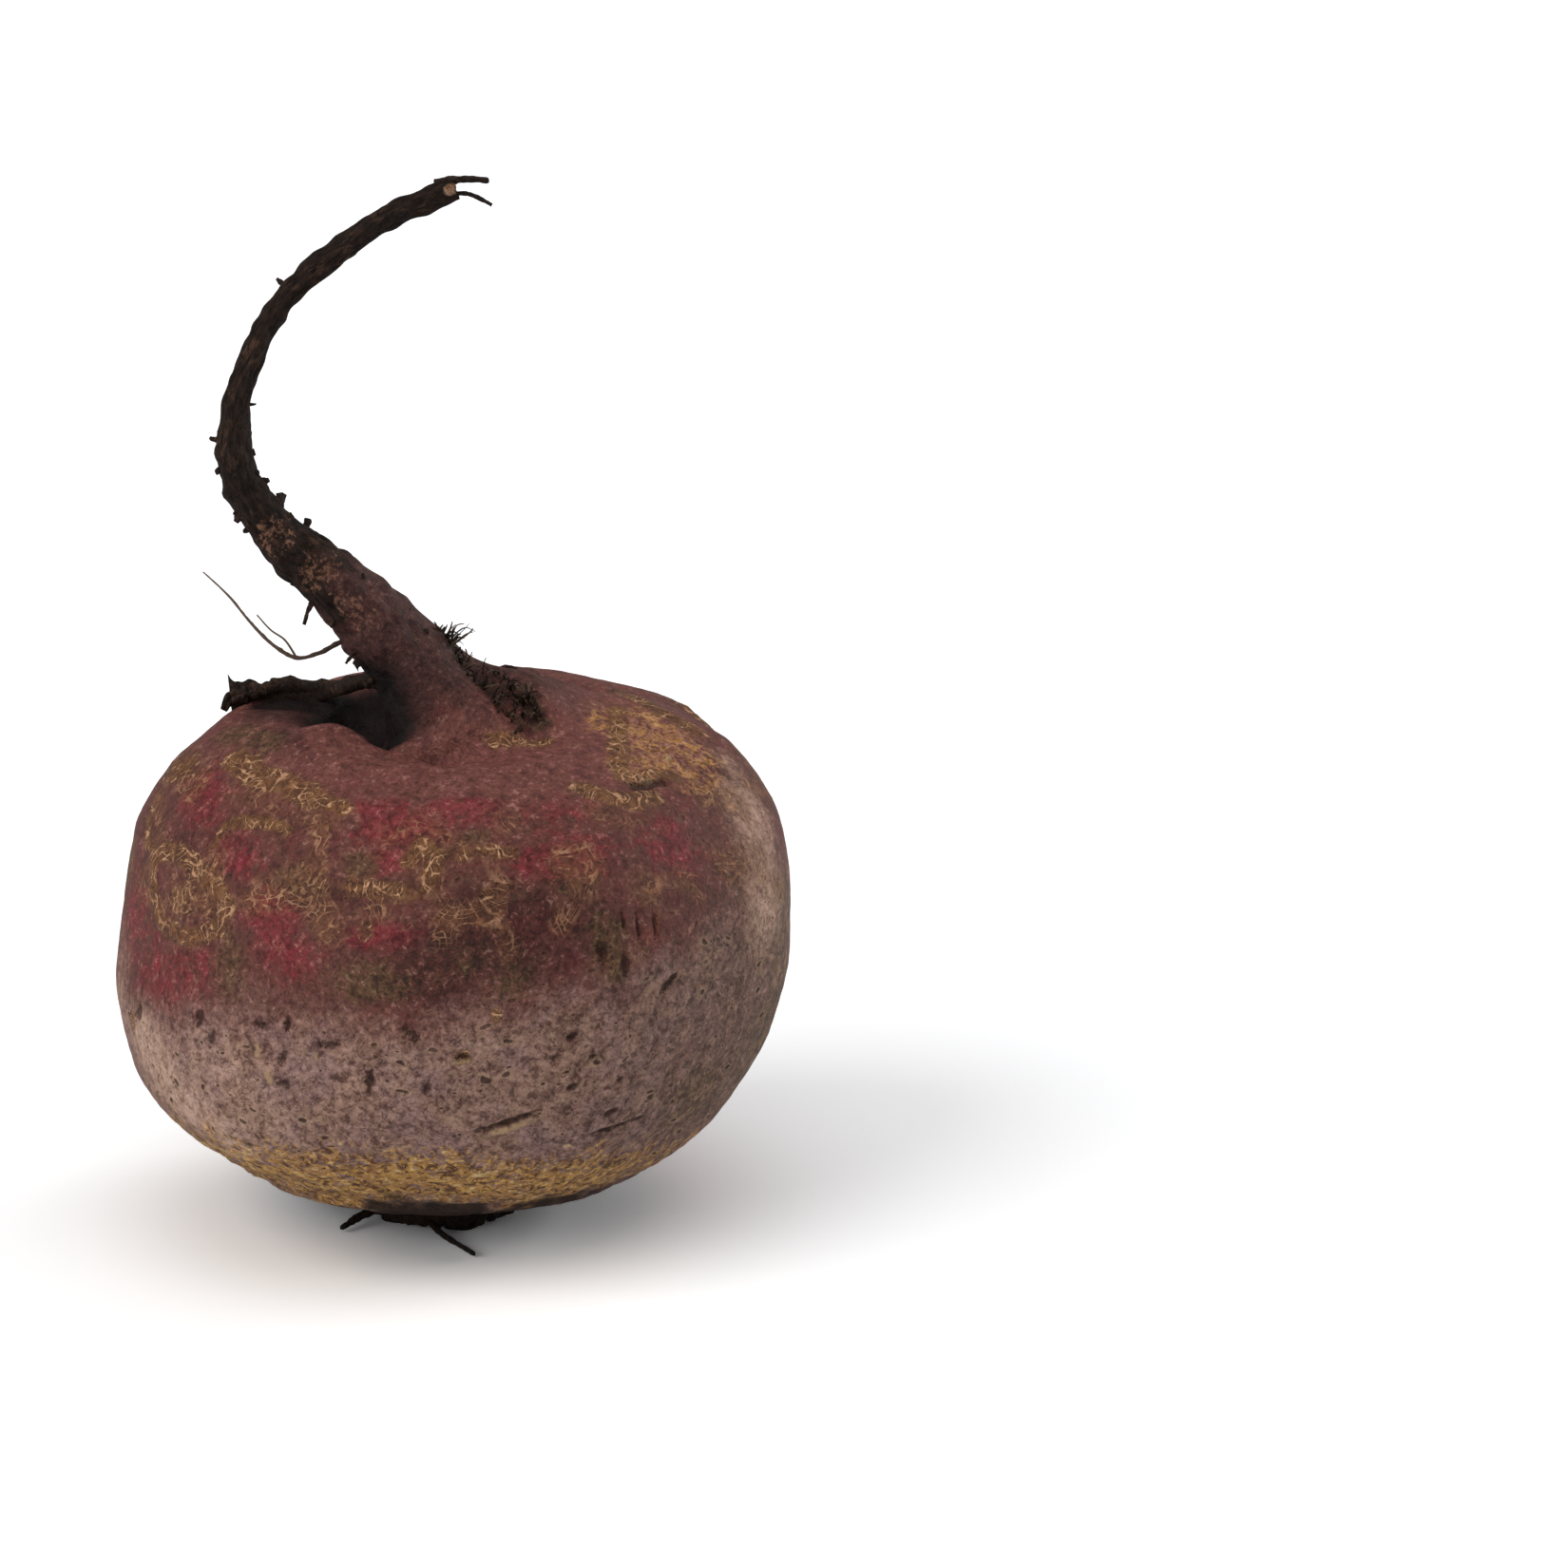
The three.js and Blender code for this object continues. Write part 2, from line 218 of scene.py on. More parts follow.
# where each mark of the skin is: degrees round the bulb from the front, to the right, and height, then
# its half width, half height, tilt in degrees and strength
marks = dict(
    crimson=[
        ((-9, 55.6), 6.0, 3.2, 0, 1.0), ((-15, 57.0), 4.4, 2.0, 0, 0.8),
        ((-10, 52.8), 3.6, 2.0, 0, 0.9), ((-34, 45.2), 4.2, 3.6, 0, 1.0),
        ((-28, 41.8), 4.0, 3.0, 0, 0.9), ((-9, 45.6), 5.4, 1.8, 6, 0.9), ((4, 57.2), 6.6, 2.6, 0, 0.7),
        ((25, 52.9), 7.0, 3.4, 0, 0.85), ((49, 51.7), 4.4, 4.0, 0, 0.85),
        ((39, 43.2), 1.5, 2.4, 0, 0.75), ((-67, 54.5), 5.0, 4.4, 0, 0.85),
        ((-48, 50.6), 5.0, 2.8, 0, 0.8), ((-61, 35.0), 7.0, 5.0, 0, 0.7),
        ((-51, 37.0), 5.0, 4.4, 0, 0.6), ((-76, 40.0), 5.0, 7.0, 0, 0.7),
        ((28, 56.6), 6.0, 2.0, 0, 0.5), ((15, 46.4), 7.0, 2.0, 0, 0.5),
        ((110, 51.0), 8.0, 5.0, 10, 0.8), ((150, 44.0), 6.0, 5.0, -20, 0.9),
        ((185, 53.0), 9.0, 4.0, 0, 0.8), ((215, 40.0), 6.0, 6.0, 15, 0.7),
        ((250, 51.0), 7.0, 4.0, 0, 0.8),
    ],
    belt=[
        ((10, 48.6), 6.0, 3.0, 0, 0.95), ((8, 43.6), 10.0, 4.6, 0, 0.8),
        ((-3, 40.4), 7.0, 3.2, 0, 0.75), ((24, 47.0), 6.0, 4.0, 0, 0.55),
        ((-22, 49.0), 7.0, 2.4, 0, 0.5), ((-60, 49.0), 6.0, 3.0, 0, 0.4),
        ((-62, 60.6), 7.0, 2.0, 0, 0.6), ((130, 39.0), 7.0, 5.0, 0, 0.7),
        ((235, 46.0), 6.0, 5.0, 0, 0.7), ((170, 58.0), 9.0, 4.0, 0, 0.5),
    ],
    olive=[
        ((-80, 59.1), 4.0, 2.0, 0, 0.8), ((-66, 59.8), 5.0, 1.6, 0, 0.7),
        ((-16, 52.4), 2.4, 1.8, 0, 0.95), ((-30, 49.4), 4.4, 2.2, 0, 0.65),
        ((-42, 39.4), 2.6, 4.4, 8, 0.75), ((7.5, 55.0), 2.0, 1.2, 0, 0.75),
        ((-13, 39.8), 6.4, 2.8, 0, 0.8), ((6, 42.4), 3.0, 2.4, 0, 0.5), ((30, 44.0), 3.2, 3.8, 8, 0.8),
        ((31, 41.0), 1.4, 3.0, 8, 0.95), ((13, 40.2), 3.0, 3.0, 0, 0.6),
        # the last mark on this line and the two on the next, low on the right side, are painted shade
        # that darkens that side
        ((24, 50.0), 3.0, 1.6, 0, 0.55), ((76, 37.0), 6.0, 9.0, 0, 0.6),
        ((80, 24.0), 9.0, 10.0, 0, 0.85), ((60, 21.0), 12.0, 7.0, 0, 0.6),
        ((112, 60.2), 10.0, 2.0, 0, 0.85), ((125, 47.0), 5.0, 3.0, 0, 0.8),
        ((200, 46.0), 6.0, 3.4, 0, 0.8), ((270, 43.0), 4.0, 4.4, 0, 0.8),
    ],
    ochre=[
        ((9.4, 36.4), 0.8, 1.0, 0, 1.0), ((3.9, 31.3), 1.0, 0.9, 0, 1.0),
        ((-70, 27.8), 1.0, 1.6, 0, 0.9), ((-13, 45.6), 0.9, 1.2, 0, 0.8),
        ((120, 56.0), 7.0, 1.8, 12, 1.0), ((160, 50.0), 5.0, 4.4, 0, 1.0),
        ((205, 56.0), 8.0, 1.6, -8, 1.0), ((240, 42.0), 5.0, 4.6, 0, 0.9),
        ((275, 55.0), 4.6, 2.4, 20, 0.9),
    ],
    swirl=[((-57, 44.8), 4.0, 3.4, 0, 0.45)],
    scab=[((190, 59.0), 8.0, 4.0, 0, 0.8)],
    # pale patches of skin; the one low on the left side is partly painted light
    pale=[
        ((-80, 30.0), 5.0, 8.0, 0, 0.5), ((160, 30.0), 12.0, 7.0, 0, 0.5),
    ],
    pit=[
        ((-68, 29.2), 1.0, 1.2, 0, 1.0), ((-47, 32.3), 0.6, 1.0, 0, 0.9),
        ((-43.5, 30.8), 0.6, 1.1, 0, 0.8), ((-34, 33.3), 0.9, 0.5, 0, 0.9),
        ((-28.4, 34.2), 0.45, 0.9, 0, 1.0), ((-20, 32.4), 1.4, 0.45, 4, 1.0),
        ((-28.5, 29.8), 0.5, 0.9, -25, 1.0), ((-28.6, 27.2), 0.8, 0.5, -30, 1.0),
        ((-12.3, 28.4), 0.45, 1.3, -4, 1.0), ((-5.4, 34.0), 1.3, 0.5, -40, 1.0),
        ((-2.8, 27.5), 0.4, 0.9, -25, 0.9), ((4.1, 31.7), 0.75, 0.5, 0, 1.0),
        ((22.5, 33.0), 0.6, 0.4, 30, 0.9), ((20.1, 30.5), 0.5, 0.4, -30, 0.9),
        ((26.7, 30.4), 0.55, 0.4, 0, 1.0), ((23.2, 27.2), 0.6, 0.4, 15, 1.0),
        ((32.3, 26.7), 0.5, 0.5, 20, 0.9), ((31.6, 22.8), 1.2, 0.4, 20, 0.9),
        ((41.9, 37.3), 1.4, 0.45, 32, 1.0), ((28.8, 42.4), 0.6, 1.5, 8, 0.8),
        ((33.2, 40.6), 0.6, 1.6, 6, 0.8), ((-37, 18.6), 0.6, 0.5, 0, 1.0),
        ((12.6, 23.2), 4.2, 0.32, 20, 1.0), ((7.6, 22.3), 1.1, 0.5, 0, 0.9),
        ((34.6, 20.6), 4.0, 0.3, 5, 1.0), ((36, 44.7), 0.35, 1.6, 0, 0.7),
        ((39.4, 44.6), 0.35, 1.4, 0, 0.7), ((33, 46.0), 0.35, 1.2, 0, 0.6),
    ],
    lip=[
        ((12.6, 22.1), 3.6, 0.5, 20, 0.9), ((4.1, 30.7), 1.2, 0.5, 0, 1.0),
        ((-33.0, 30.6), 0.5, 1.2, 0, 0.8), ((-31, 27.6), 0.5, 1.0, 30, 0.9),
        ((-22, 30.6), 0.4, 1.2, 10, 0.6), ((56, 57.4), 0.8, 0.5, 0, 1.0),
        ((69, 58.2), 0.7, 0.5, 0, 1.0), ((-20, 58.8), 0.35, 1.2, 30, 0.9),
        ((-16, 58.4), 0.35, 1.0, -30, 0.9),
    ],
)
# marks that are set by points in space: one spot or a line of them, its half width and strength
bands = dict(
    ochre=[
       
        ([(-22.7, -9.4, 58), (-19.7, -14.5, 57.5), (-16.1, -18.4, 57.4), (-13, -21.8, 57.2)], 1.8, 1),
        ([(-13.0, -21.8, 57.2), (-9.5, -24.9, 56.8)], 1.2, 1.0),
        ([(-25.0, -18.7, 50.1), (-23.3, -18.6, 52.3)], 0.4, 0.9),
        ([(-23.6, -18.3, 52.2), (-22.2, -18.5, 53.3), (-19.9, -20.0, 53.9), (-15.8, -23.7, 54.1)],
         0.9, 0.95),
        ([(-31.8, -2.5, 51.6), (-32.8, -4.7, 49.4), (-32.8, -8.5, 47.2)], 0.8, 0.9),
        ([(-1.9, -32.0, 52.9), (-0.3, -30.3, 54.6), (1.3, -31.7, 53.4), (0.3, -33.7, 50.7)], 1.1, 0.95),
        ([(2.8, -31.7, 53.4), (6.0, -31.1, 53.8), (9.6, -31.0, 53.5)], 1.0, 0.75),
        ([(-9.5, -32.3, 50.3), (-5.0, -33.6, 49.8), (-1.0, -34.0, 49.8)], 1.3, 0.7),
        ([(20.8, -0.3, 61.3), (21.0, -10.5, 59.7), (21.6, -16.8, 58.2)], 1.2, 1.0),
        ([(17.1, -21.1, 58.1), (20.1, -21.4, 57.1), (22.8, -20.5, 56.4), (25.1, -18.3, 56.1)], 1.3, 1.0),
        ([(22.7, -17.1, 57.8), (25.3, -13.9, 57.6), (27.9, -12.8, 56.7)], 0.9, 1.0),
        ([(15.3, 6.0, 61.8), (20.6, 6.6, 61.6), (26.2, 2.1, 60.2), (30.0, -0.8, 58.3)], 1.7, 0.8),
        ([(7.2, -11.4, 60.9), (10.2, -11.0, 60.8), (12.6, -10.2, 60.3)], 1.25, 1.0),
    ],
    swirl=[
        ([(-32.4, -10.2, 46.9), (-32.3, -12.1, 44.5), (-31.7, -14.5, 41.8), (-30.2, -17.8, 40.3),
          (-27.1, -21.9, 40.5), (-24.1, -24.3, 42.4), (-22.8, -24.6, 45.1), (-23.4, -23.3, 46.3),
          (-25.5, -20.5, 47.2), (-27.3, -17.5, 48.3), (-29.4, -14.3, 48.5), (-32.4, -10.2, 46.9)],
         1.2, 1.0),
        ([(-27.8, -19.3, 45.1), (-28.6, -17.6, 43.6)], 1.4, 0.9),
    ],
    scab=[
        ([(23.4, -4.0, 59.8), (27.6, -8.4, 58.2)], 5.6, 0.9),
        ([(29.0, -10.0, 57.0), (23.0, -14.0, 59.0)], 3.2, 0.8),
    ],
    pale=[
        # the first two are a painted highlight along the right flank; the last two lighten the skin low
        # on the left, partly its own paler skin and partly painted light
        ([(35.8, -9.0, 52.2), (37.2, -12.6, 47.4), (37.8, -13.6, 41.3)], 4.8, 0.85),
        ([(33.4, -4.0, 55.8), (36.1, -8.8, 51.9)], 2.6, 0.6),
        ([(-33.6, -16.0, 26.4), (-30.3, -21.9, 23.8), (-26.9, -25.7, 20.6), (-22.5, -27.4, 17.0)],
         4.6, 1.0),
        ([(-22.0, -27.0, 26.0), (-16.0, -29.0, 19.0)], 6.5, 0.5),
    ],
    pit=[([(23.0, -18.0, 57.3), (24.6, -16.6, 57.2), (26.4, -14.5, 56.9)], 0.55, 1.0)],
    belt=[([(31.7, -7.0, 56.3)], 2.0, 0.9), ([(7.0, -35.6, 47.4), (13.0, -33.4, 48.2)], 2.6, 0.8)],
    olive=[([(-23.6, -2.4, 59.0), (-20.6, -6.6, 59.4), (-18.0, -9.8, 59.6)], 2.6, 0.7)],
    # the cavity beside the neck, and the ground left of it: sunk into the skin and painted near-black as
    # the shade in the hollow
    cavity=[
        ([(-9.5, -2.0, 57.5), (-5.6, 1.5, 60.0)], 6.4, 1.0),
        ([(-6.4, -6.6, 66.4), (-4.6, -8.2, 61.6)], 3.6, 0.9),
        ([(-20.0, 4.6, 61.6), (-14.0, 2.4, 61.0), (-11.0, 4.0, 61.0)], 2.8, 0.7),
    ],
    shade=[
        ([(-19.0, 1.0, 60.6), (-11.0, -2.4, 61.4)], 4.6, 0.75),
        ([(-5.6, -6.5, 68.5), (-2.6, -8.5, 62.5)], 4.0, 0.8),
        ([(-11.0, -4.0, 61.0), (-5.0, -9.0, 60.6)], 3.0, 0.6),
    ],
    crumbs=[
        ([(2.4, -4.4, 70.6), (6.8, -5.8, 67.6)], 1.4, 0.8),
        ([(8.8, -7.2, 65.4), (12.0, -8.6, 62.6)], 2.0, 1.0),
    ],
    wood=[([(2.3, 2.9, 121.3)], 0.9, 1.0)],
    warm=[
        ([(-17.0, -10.0, 84.4)], 2.4, 0.9), ([(-12.2, -9.8, 80.2)], 2.6, 1.0),
        ([(-9.0, -9.6, 76.4)], 1.8, 0.8), ([(-7.4, -9.4, 74.2)], 1.6, 0.7),
        ([(-14.6, -3.6, 79.2)], 2.4, 0.8),
    ],
)
maskNames = sorted({*marks, *bands})
broadMasks = ["grey", "cork", "under", "neck", "bark", "scribble", "mauve", "shadedRight"]
swirl = dict(centre=(-28.2, -19.4, 44.4), pitch=1.25)
bulbAxis = (1.6, -0.2)
# by degrees round the bulb: the height where the grey lower skin ends, and the corky ring near the crown
greyLine = dict(
    around=(-180, -110, -68, -38, -2, 29, 60, 90, 140, 180),
    height=(33, 31, 29, 33.5, 34.5, 39, 43.5, 44.5, 38, 33), soft=4.5, waves=[(3.0, 6, 0), (1.6, 2.6, 5)],
)
corkBand = dict(
    around=(-180, -90, -40, -5, 30, 60, 120, 180), middle=(13, 12.0, 11.2, 14.4, 12.0, 12, 12.6, 13),
    half=(3.4, 6.0, 7.5, 4.8, 5.8, 3.4, 3.0, 3.2), strength=(0.6, 0.7, 0.95, 1, 0.95, 0.4, 0.5, 0.6),
    waves=[(1.4, 5, 8)],
)
# where the painted shade of the underside ends, by degrees round the bulb: near-black brown that is
# partly the underside's own dark skin
underLine = dict(
    around=(-180, -60, -32, -22, 7, 16, 28, 40, 70, 180),
    height=(6, 4.6, 4.6, 9.4, 9.7, 6.6, 7.6, 8, 6, 6), soft=1.6, waves=[(2.4, 2.2, 2)],
)
# where the broad masks begin and end: stations of the spine, heights, distances from the bulb's axis or
# degrees round it
fades = dict(
    bulbEnd=(14.2, 15.4), scribbleFrom=(39, 44), scribbleTo=(55, 58), scribblePatch=(-0.05, 0.35),
    shadedRightFrom=(12, 66), shadedRightTo=(110, 160), mauveFrom=(54, 59), mauveReach=(24, 34),
    neckFrom=(62, 67), barkFrom=(77, 84), barkFoot=(63, 66), barkLeft=7, barkWaves=[(2.4, 2.4, 3)],
)
# how sharply a mark and a band end, and how many of its half widths a mark reaches
markPower, bandPower, markReach = 1.6, 3, 3.5
# fine relief: heights, noises as height, size and shift, and the stations where bark and flakes begin
# and end
relief = dict(
    sink=0.16, peel=[(0.08, 1.5, 0), (0.12, 4.5, 7)],
    scabShare=0.7, corkRise=0.12, corkRough=[(0.2, 1.1, 4)],
    pitDepth=0.5, lipRise=0.24, cavityDepth=1.1, cavityRough=[(0.6, 1.6, 9)],
    crumbSink=0.2, crumbRough=[(0.5, 0.9, 2)], barkStart=(15.4, 18), fibres=[(0.34, 0.8, 0)],
    barkLumps=[(0.22, 1.5, 6), (0.24, 4, 1)], flakeNoise=(2.2, 11), flakeRise=0.7, flakeEnd=(20.5, 23.5),
    fibreGrain=[(0.08, 0.5, 3)],
)
print("frame loaded")


def slowRelief(place):
    onBulb = smoothStep(place[:, 2], *body["lumpsFrom"]) * (1 - smoothStep(place[:, 2], *body["lumpsTo"]))
    height = np.zeros(len(place))
    for kx, ky, kz, phase, rise in body["lumps"]:
        height += onBulb * rise * np.sin(place @ np.array((kx, ky, kz)) + phase)
    for start, end, radius, depth in body["hollows"]:
        start, line = np.array(start), np.array(end) - np.array(start)
        share = np.clip((place - start) @ line / (line @ line), 0, 1)
        gap = np.linalg.norm(place - start - share[:, None] * line, axis=1)
        height -= depth * np.exp(-((gap / radius) ** 2))
    steps = smoothStep(place[:, 2], *body["stepStart"]) * (1 - smoothStep(place[:, 2], *body["stepFade"]))
    fromAxis = np.hypot(place[:, 0], place[:, 1])
    return height + steps * body["stepHeight"] * np.sin(2 * np.pi * fromAxis / body["stepPitch"])


def bearing(place):
    x, y = place[:, 0] - bulbAxis[0], place[:, 1] - bulbAxis[1]
    return np.degrees(np.arctan2(x, -y)), np.hypot(x, y)


def markMask(place, onBulb, spots):
    degrees, fromAxis = bearing(place)
    offBulb = 1e4 * (1 - onBulb)  # keeps the root out of the search for a spot's middle
    total = np.zeros(len(place))
    for (around, height), halfWide, halfHigh, tilt, strength in spots:
        turned = (degrees - around + 180) % 360 - 180
        # the spot's own middle is the nearest point of the skin to its bearing and height
        miss = (np.radians(turned) * fromAxis) ** 2 + (place[:, 2] - height) ** 2 + offBulb
        middle = place[np.argmin(miss)]
        angle = math.radians(around)
        side = np.array((math.cos(angle), math.sin(angle), 0))
        offset = place - middle
        across = offset @ side
        climb = np.sign(place[:, 2] - middle[2]) * np.linalg.norm(offset - across[:, None] * side, axis=1)
        lean = math.radians(tilt)
        u = (across * math.cos(lean) + climb * math.sin(lean)) / halfWide
        v = (climb * math.cos(lean) - across * math.sin(lean)) / halfHigh
        near = np.linalg.norm(offset, axis=1) < markReach * max(halfWide, halfHigh)
        total = np.maximum(total, strength * near * np.exp(-((u * u + v * v) ** markPower)))
    return total * onBulb


def bandMask(place, lines):
    total = np.zeros(len(place))
    for points, half, strength in lines:
        points = np.array(points)
        gap = np.linalg.norm(place - points[0], axis=1)
        for start, end in zip(points, points[1:]):
            line = end - start
            share = np.clip((place - start) @ line / (line @ line), 0, 1)
            gap = np.minimum(gap, np.linalg.norm(place - start - share[:, None] * line, axis=1))
        total = np.maximum(total, strength * np.exp(-((gap / half) ** bandPower)))
    return total


def growRings():
    bm = bmesh.new()
    close = 1e-4
    stationLayer = bm.verts.layers.float.new("station")
    turnLayer = bm.verts.layers.float.new("turn")

    def rolledGrid(sides, places, crowd=0.0):
        # a grid rolled up into a tube, each row a ring of the body at its station and share of the radius
        rings = [ringMatrix(*place) for place in places]
        made = bmesh.ops.create_grid(bm, x_segments=sides, y_segments=len(places) - 1, size=1)["verts"]
        for vert in made:
            row = round((vert.co.y + 1) / 2 * (len(places) - 1))
            turn = math.pi * vert.co.x
            turn -= crowd * math.cos(turn)  # more of the sides go to the front, where the fine marks are
            vert[stationLayer] = places[row][0]
            vert[turnLayer] = turn
            vert.co = rings[row] @ Vector((math.cos(turn), math.sin(turn), 0))
        bmesh.ops.remove_doubles(bm, verts=made, dist=close)

    def rim(station):
        loose = [e for e in bm.edges if e.is_boundary]
        return [e for e in loose if all(abs(v[stationLayer] - station) < close for v in e.verts)]

    under = [(0, share) for share in np.linspace(*body["underShares"])]
    bulbRows = [(p, 1) for p in rowPlaces(0, body["splitAt"], body["rowStep"])]
    rolledGrid(body["bulbSides"], under + bulbRows, body["frontCrowd"])
    rootFoot = body["splitAt"] + body["splitGap"]
    rolledGrid(body["rootSides"], [(p, 1) for p in rowPlaces(rootFoot, lastStation, body["rootRowStep"])])
    bmesh.ops.bridge_loops(bm, edges=rim(body["splitAt"]) + rim(rootFoot))
    for end in (0, lastStation):
        bmesh.ops.edgeloop_fill(bm, edges=rim(end))
    return bm


def skinMasks(place, station, turn):
    height = place[:, 2]
    onBulb = 1 - smoothStep(station, *fades["bulbEnd"])
    masks = {}
    for name in maskNames:
        flat = markMask(place, onBulb, marks.get(name, ()))
        masks[name] = np.maximum(flat, bandMask(place, bands.get(name, ())))
    degrees, fromAxis = bearing(place)
    belted = smoothStep(height, *fades["scribbleFrom"]) * (1 - smoothStep(height, *fades["scribbleTo"]))
    masks["scribble"] = belted * smoothStep(noiseOn(place, 5, 21), *fades["scribblePatch"])
    # painted shade: the lower skin turns browner and darker round the right side, fading out again
    # towards the back
    beyond = smoothStep(degrees, *fades["shadedRightTo"])
    masks["shadedRight"] = smoothStep(degrees, *fades["shadedRightFrom"]) * (1 - beyond)
    nearNeck = 1 - smoothStep(fromAxis, *fades["mauveReach"])
    masks["mauve"] = onBulb * smoothStep(height, *fades["mauveFrom"]) * nearNeck
    line = np.interp(degrees, greyLine["around"], greyLine["height"])
    line += noiseSum(place, greyLine["waves"])
    masks["grey"] = 1 - smoothStep(height, line - greyLine["soft"], line + greyLine["soft"])
    middle = np.interp(degrees, corkBand["around"], corkBand["middle"])
    middle += noiseSum(place, corkBand["waves"])
    half = np.interp(degrees, corkBand["around"], corkBand["half"])
    strength = np.interp(degrees, corkBand["around"], corkBand["strength"])
    masks["cork"] = strength * np.exp(-((np.abs(height - middle) / half) ** bandPower)) * onBulb
    edge = np.interp(degrees, underLine["around"], underLine["height"])
    waved = height + noiseSum(place, underLine["waves"])
    masks["under"] = 1 - smoothStep(waved, edge - underLine["soft"], edge + underLine["soft"])
    # the bark starts lower on the root's left side than on its right
    waved = height + noiseSum(place, fades["barkWaves"])
    leftward = smoothStep(-np.cos(turn), -0.5, 0.5)
    masks["neck"] = smoothStep(waved, *fades["neckFrom"])
    barky = smoothStep(waved + fades["barkLeft"] * leftward, *fades["barkFrom"])
    masks["bark"] = barky * smoothStep(height, *fades["barkFoot"])
    return masks, onBulb


def barkSpots(station, turn):
    # a place on the bark that runs slowly along the root, so that a pattern on it makes long fibres
    steps = np.arange(0, lastStation, 0.1)
    centres = np.array([curvePoint(spine, s) for s in steps])
    length = np.concatenate(([0], np.cumsum(np.linalg.norm(np.diff(centres, axis=0), axis=1))))
    along = np.interp(station, steps, length)
    radius = np.interp(station, steps, [curvePoint(girth, s).y for s in steps])
    return np.stack((radius * np.cos(turn), radius * np.sin(turn), along / body["fibreStretch"]), axis=1)


def growBody():
    mesh = meshFrom("beetSkin", growRings())
    station, turn = readMesh(mesh, "station"), readMesh(mesh, "turn")
    place = pushOut(mesh, slowRelief(readMesh(mesh, "co")))
    masks, onBulb = skinMasks(place, station, turn)
    barkPlace = barkSpots(station, turn)

    # fine relief: peel, corky marks, pits and their lips, the dark cavity and the ridged bark
    cork = masks["ochre"] + masks["swirl"] + relief["scabShare"] * masks["scab"] + masks["cork"]
    raised = cork * (relief["corkRise"] + noiseSum(place, relief["corkRough"]))
    height = onBulb * (noiseSum(place, relief["peel"]) - relief["sink"] + raised)
    height -= relief["pitDepth"] * masks["pit"] - relief["lipRise"] * masks["lip"]
    height -= masks["cavity"] * (relief["cavityDepth"] + noiseSum(place, relief["cavityRough"]))
    height += masks["crumbs"] * (noiseSum(place, relief["crumbRough"]) - relief["crumbSink"])
    ridges = noiseSum(barkPlace, relief["fibres"]) + noiseSum(place, relief["barkLumps"])
    flakes = np.maximum(noiseOn(place, *relief["flakeNoise"]), 0)
    flakes *= 1 - smoothStep(station, *relief["flakeEnd"])
    height += smoothStep(station, *relief["barkStart"]) * (ridges + relief["flakeRise"] * flakes)
    height += (1 - onBulb) * noiseSum(barkPlace, relief["fibreGrain"])
    pushOut(mesh, height)

    for name, values in masks.items():
        mesh.attributes.new(name, "FLOAT", "POINT").data.foreach_set("value", values)
    fibres = mesh.attributes.new("barkPlace", "FLOAT_VECTOR", "POINT")
    fibres.data.foreach_set("vector", barkPlace.ravel())
    return mesh


# node helpers: each one gives back the new node's output socket
def nodeIn(tree, kind, inputs=None, **settings):
    node = tree.nodes.new(kind)
    for name, value in settings.items():
        setattr(node, name, value)
    for name, value in (inputs or {}).items():
        if isinstance(value, bpy.types.NodeSocket):
            tree.links.new(value, node.inputs[name])
        else:
            node.inputs[name].default_value = value
    return node


def calc(tree, operation, a, b=0.0, clamp=False):
    node = nodeIn(tree, "ShaderNodeMath", {0: a, 1: b}, operation=operation, use_clamp=clamp)
    return node.outputs[0]


def blendColour(tree, share, low, high):
    return nodeIn(tree, "ShaderNodeMix", {0: share, 6: low, 7: high}, data_type="RGBA").outputs[2]


def spread(tree, value, low, high, toLow=0.0, toHigh=1.0):
    inputs = {0: value, 1: low, 2: high, 3: toLow, 4: toHigh}
    return nodeIn(tree, "ShaderNodeMapRange", inputs, interpolation_type="SMOOTHSTEP").outputs[0]


def grainNoise(tree, vector, scale, detail=3.0, roughness=0.55, warp=0.0):
    inputs = {"Vector": vector, "Scale": scale, "Detail": detail, "Roughness": roughness}
    return nodeIn(tree, "ShaderNodeTexNoise", {**inputs, "Distortion": warp}).outputs["Fac"]


def attribute(tree, name, output="Fac"):
    return nodeIn(tree, "ShaderNodeAttribute", attribute_name=name).outputs[output]


def paint(red, green, blue):
    # a colour as seen on screen, 0 to 255, made linear
    channels = [c / 255 for c in (red, green, blue)]
    return tuple(c / 12.92 if c <= 0.04045 else ((c + 0.055) / 1.055) ** 2.4 for c in channels) + (1,)


def newGroup(name, inputs, outputs):
    tree = bpy.data.node_groups.new(name, "ShaderNodeTree")
    for socket, kind, value in inputs:
        made = tree.interface.new_socket(socket, in_out="INPUT", socket_type=kind)
        if value is not None:
            made.default_value = value
    for socket, kind in outputs:
        tree.interface.new_socket(socket, in_out="OUTPUT", socket_type=kind)
    start = tree.nodes.new("NodeGroupInput")
    end = tree.nodes.new("NodeGroupOutput")
    return tree, start.outputs, end.inputs


def useGroup(tree, group, inputs):
    return nodeIn(tree, "ShaderNodeGroup", inputs, node_tree=group).outputs


def millimetres(tree):
    place = nodeIn(tree, "ShaderNodeTexCoord").outputs["Object"]
    return nodeIn(tree, "ShaderNodeMapping", {"Vector": place, "Scale": (1000, 1000, 1000)}).outputs[0]


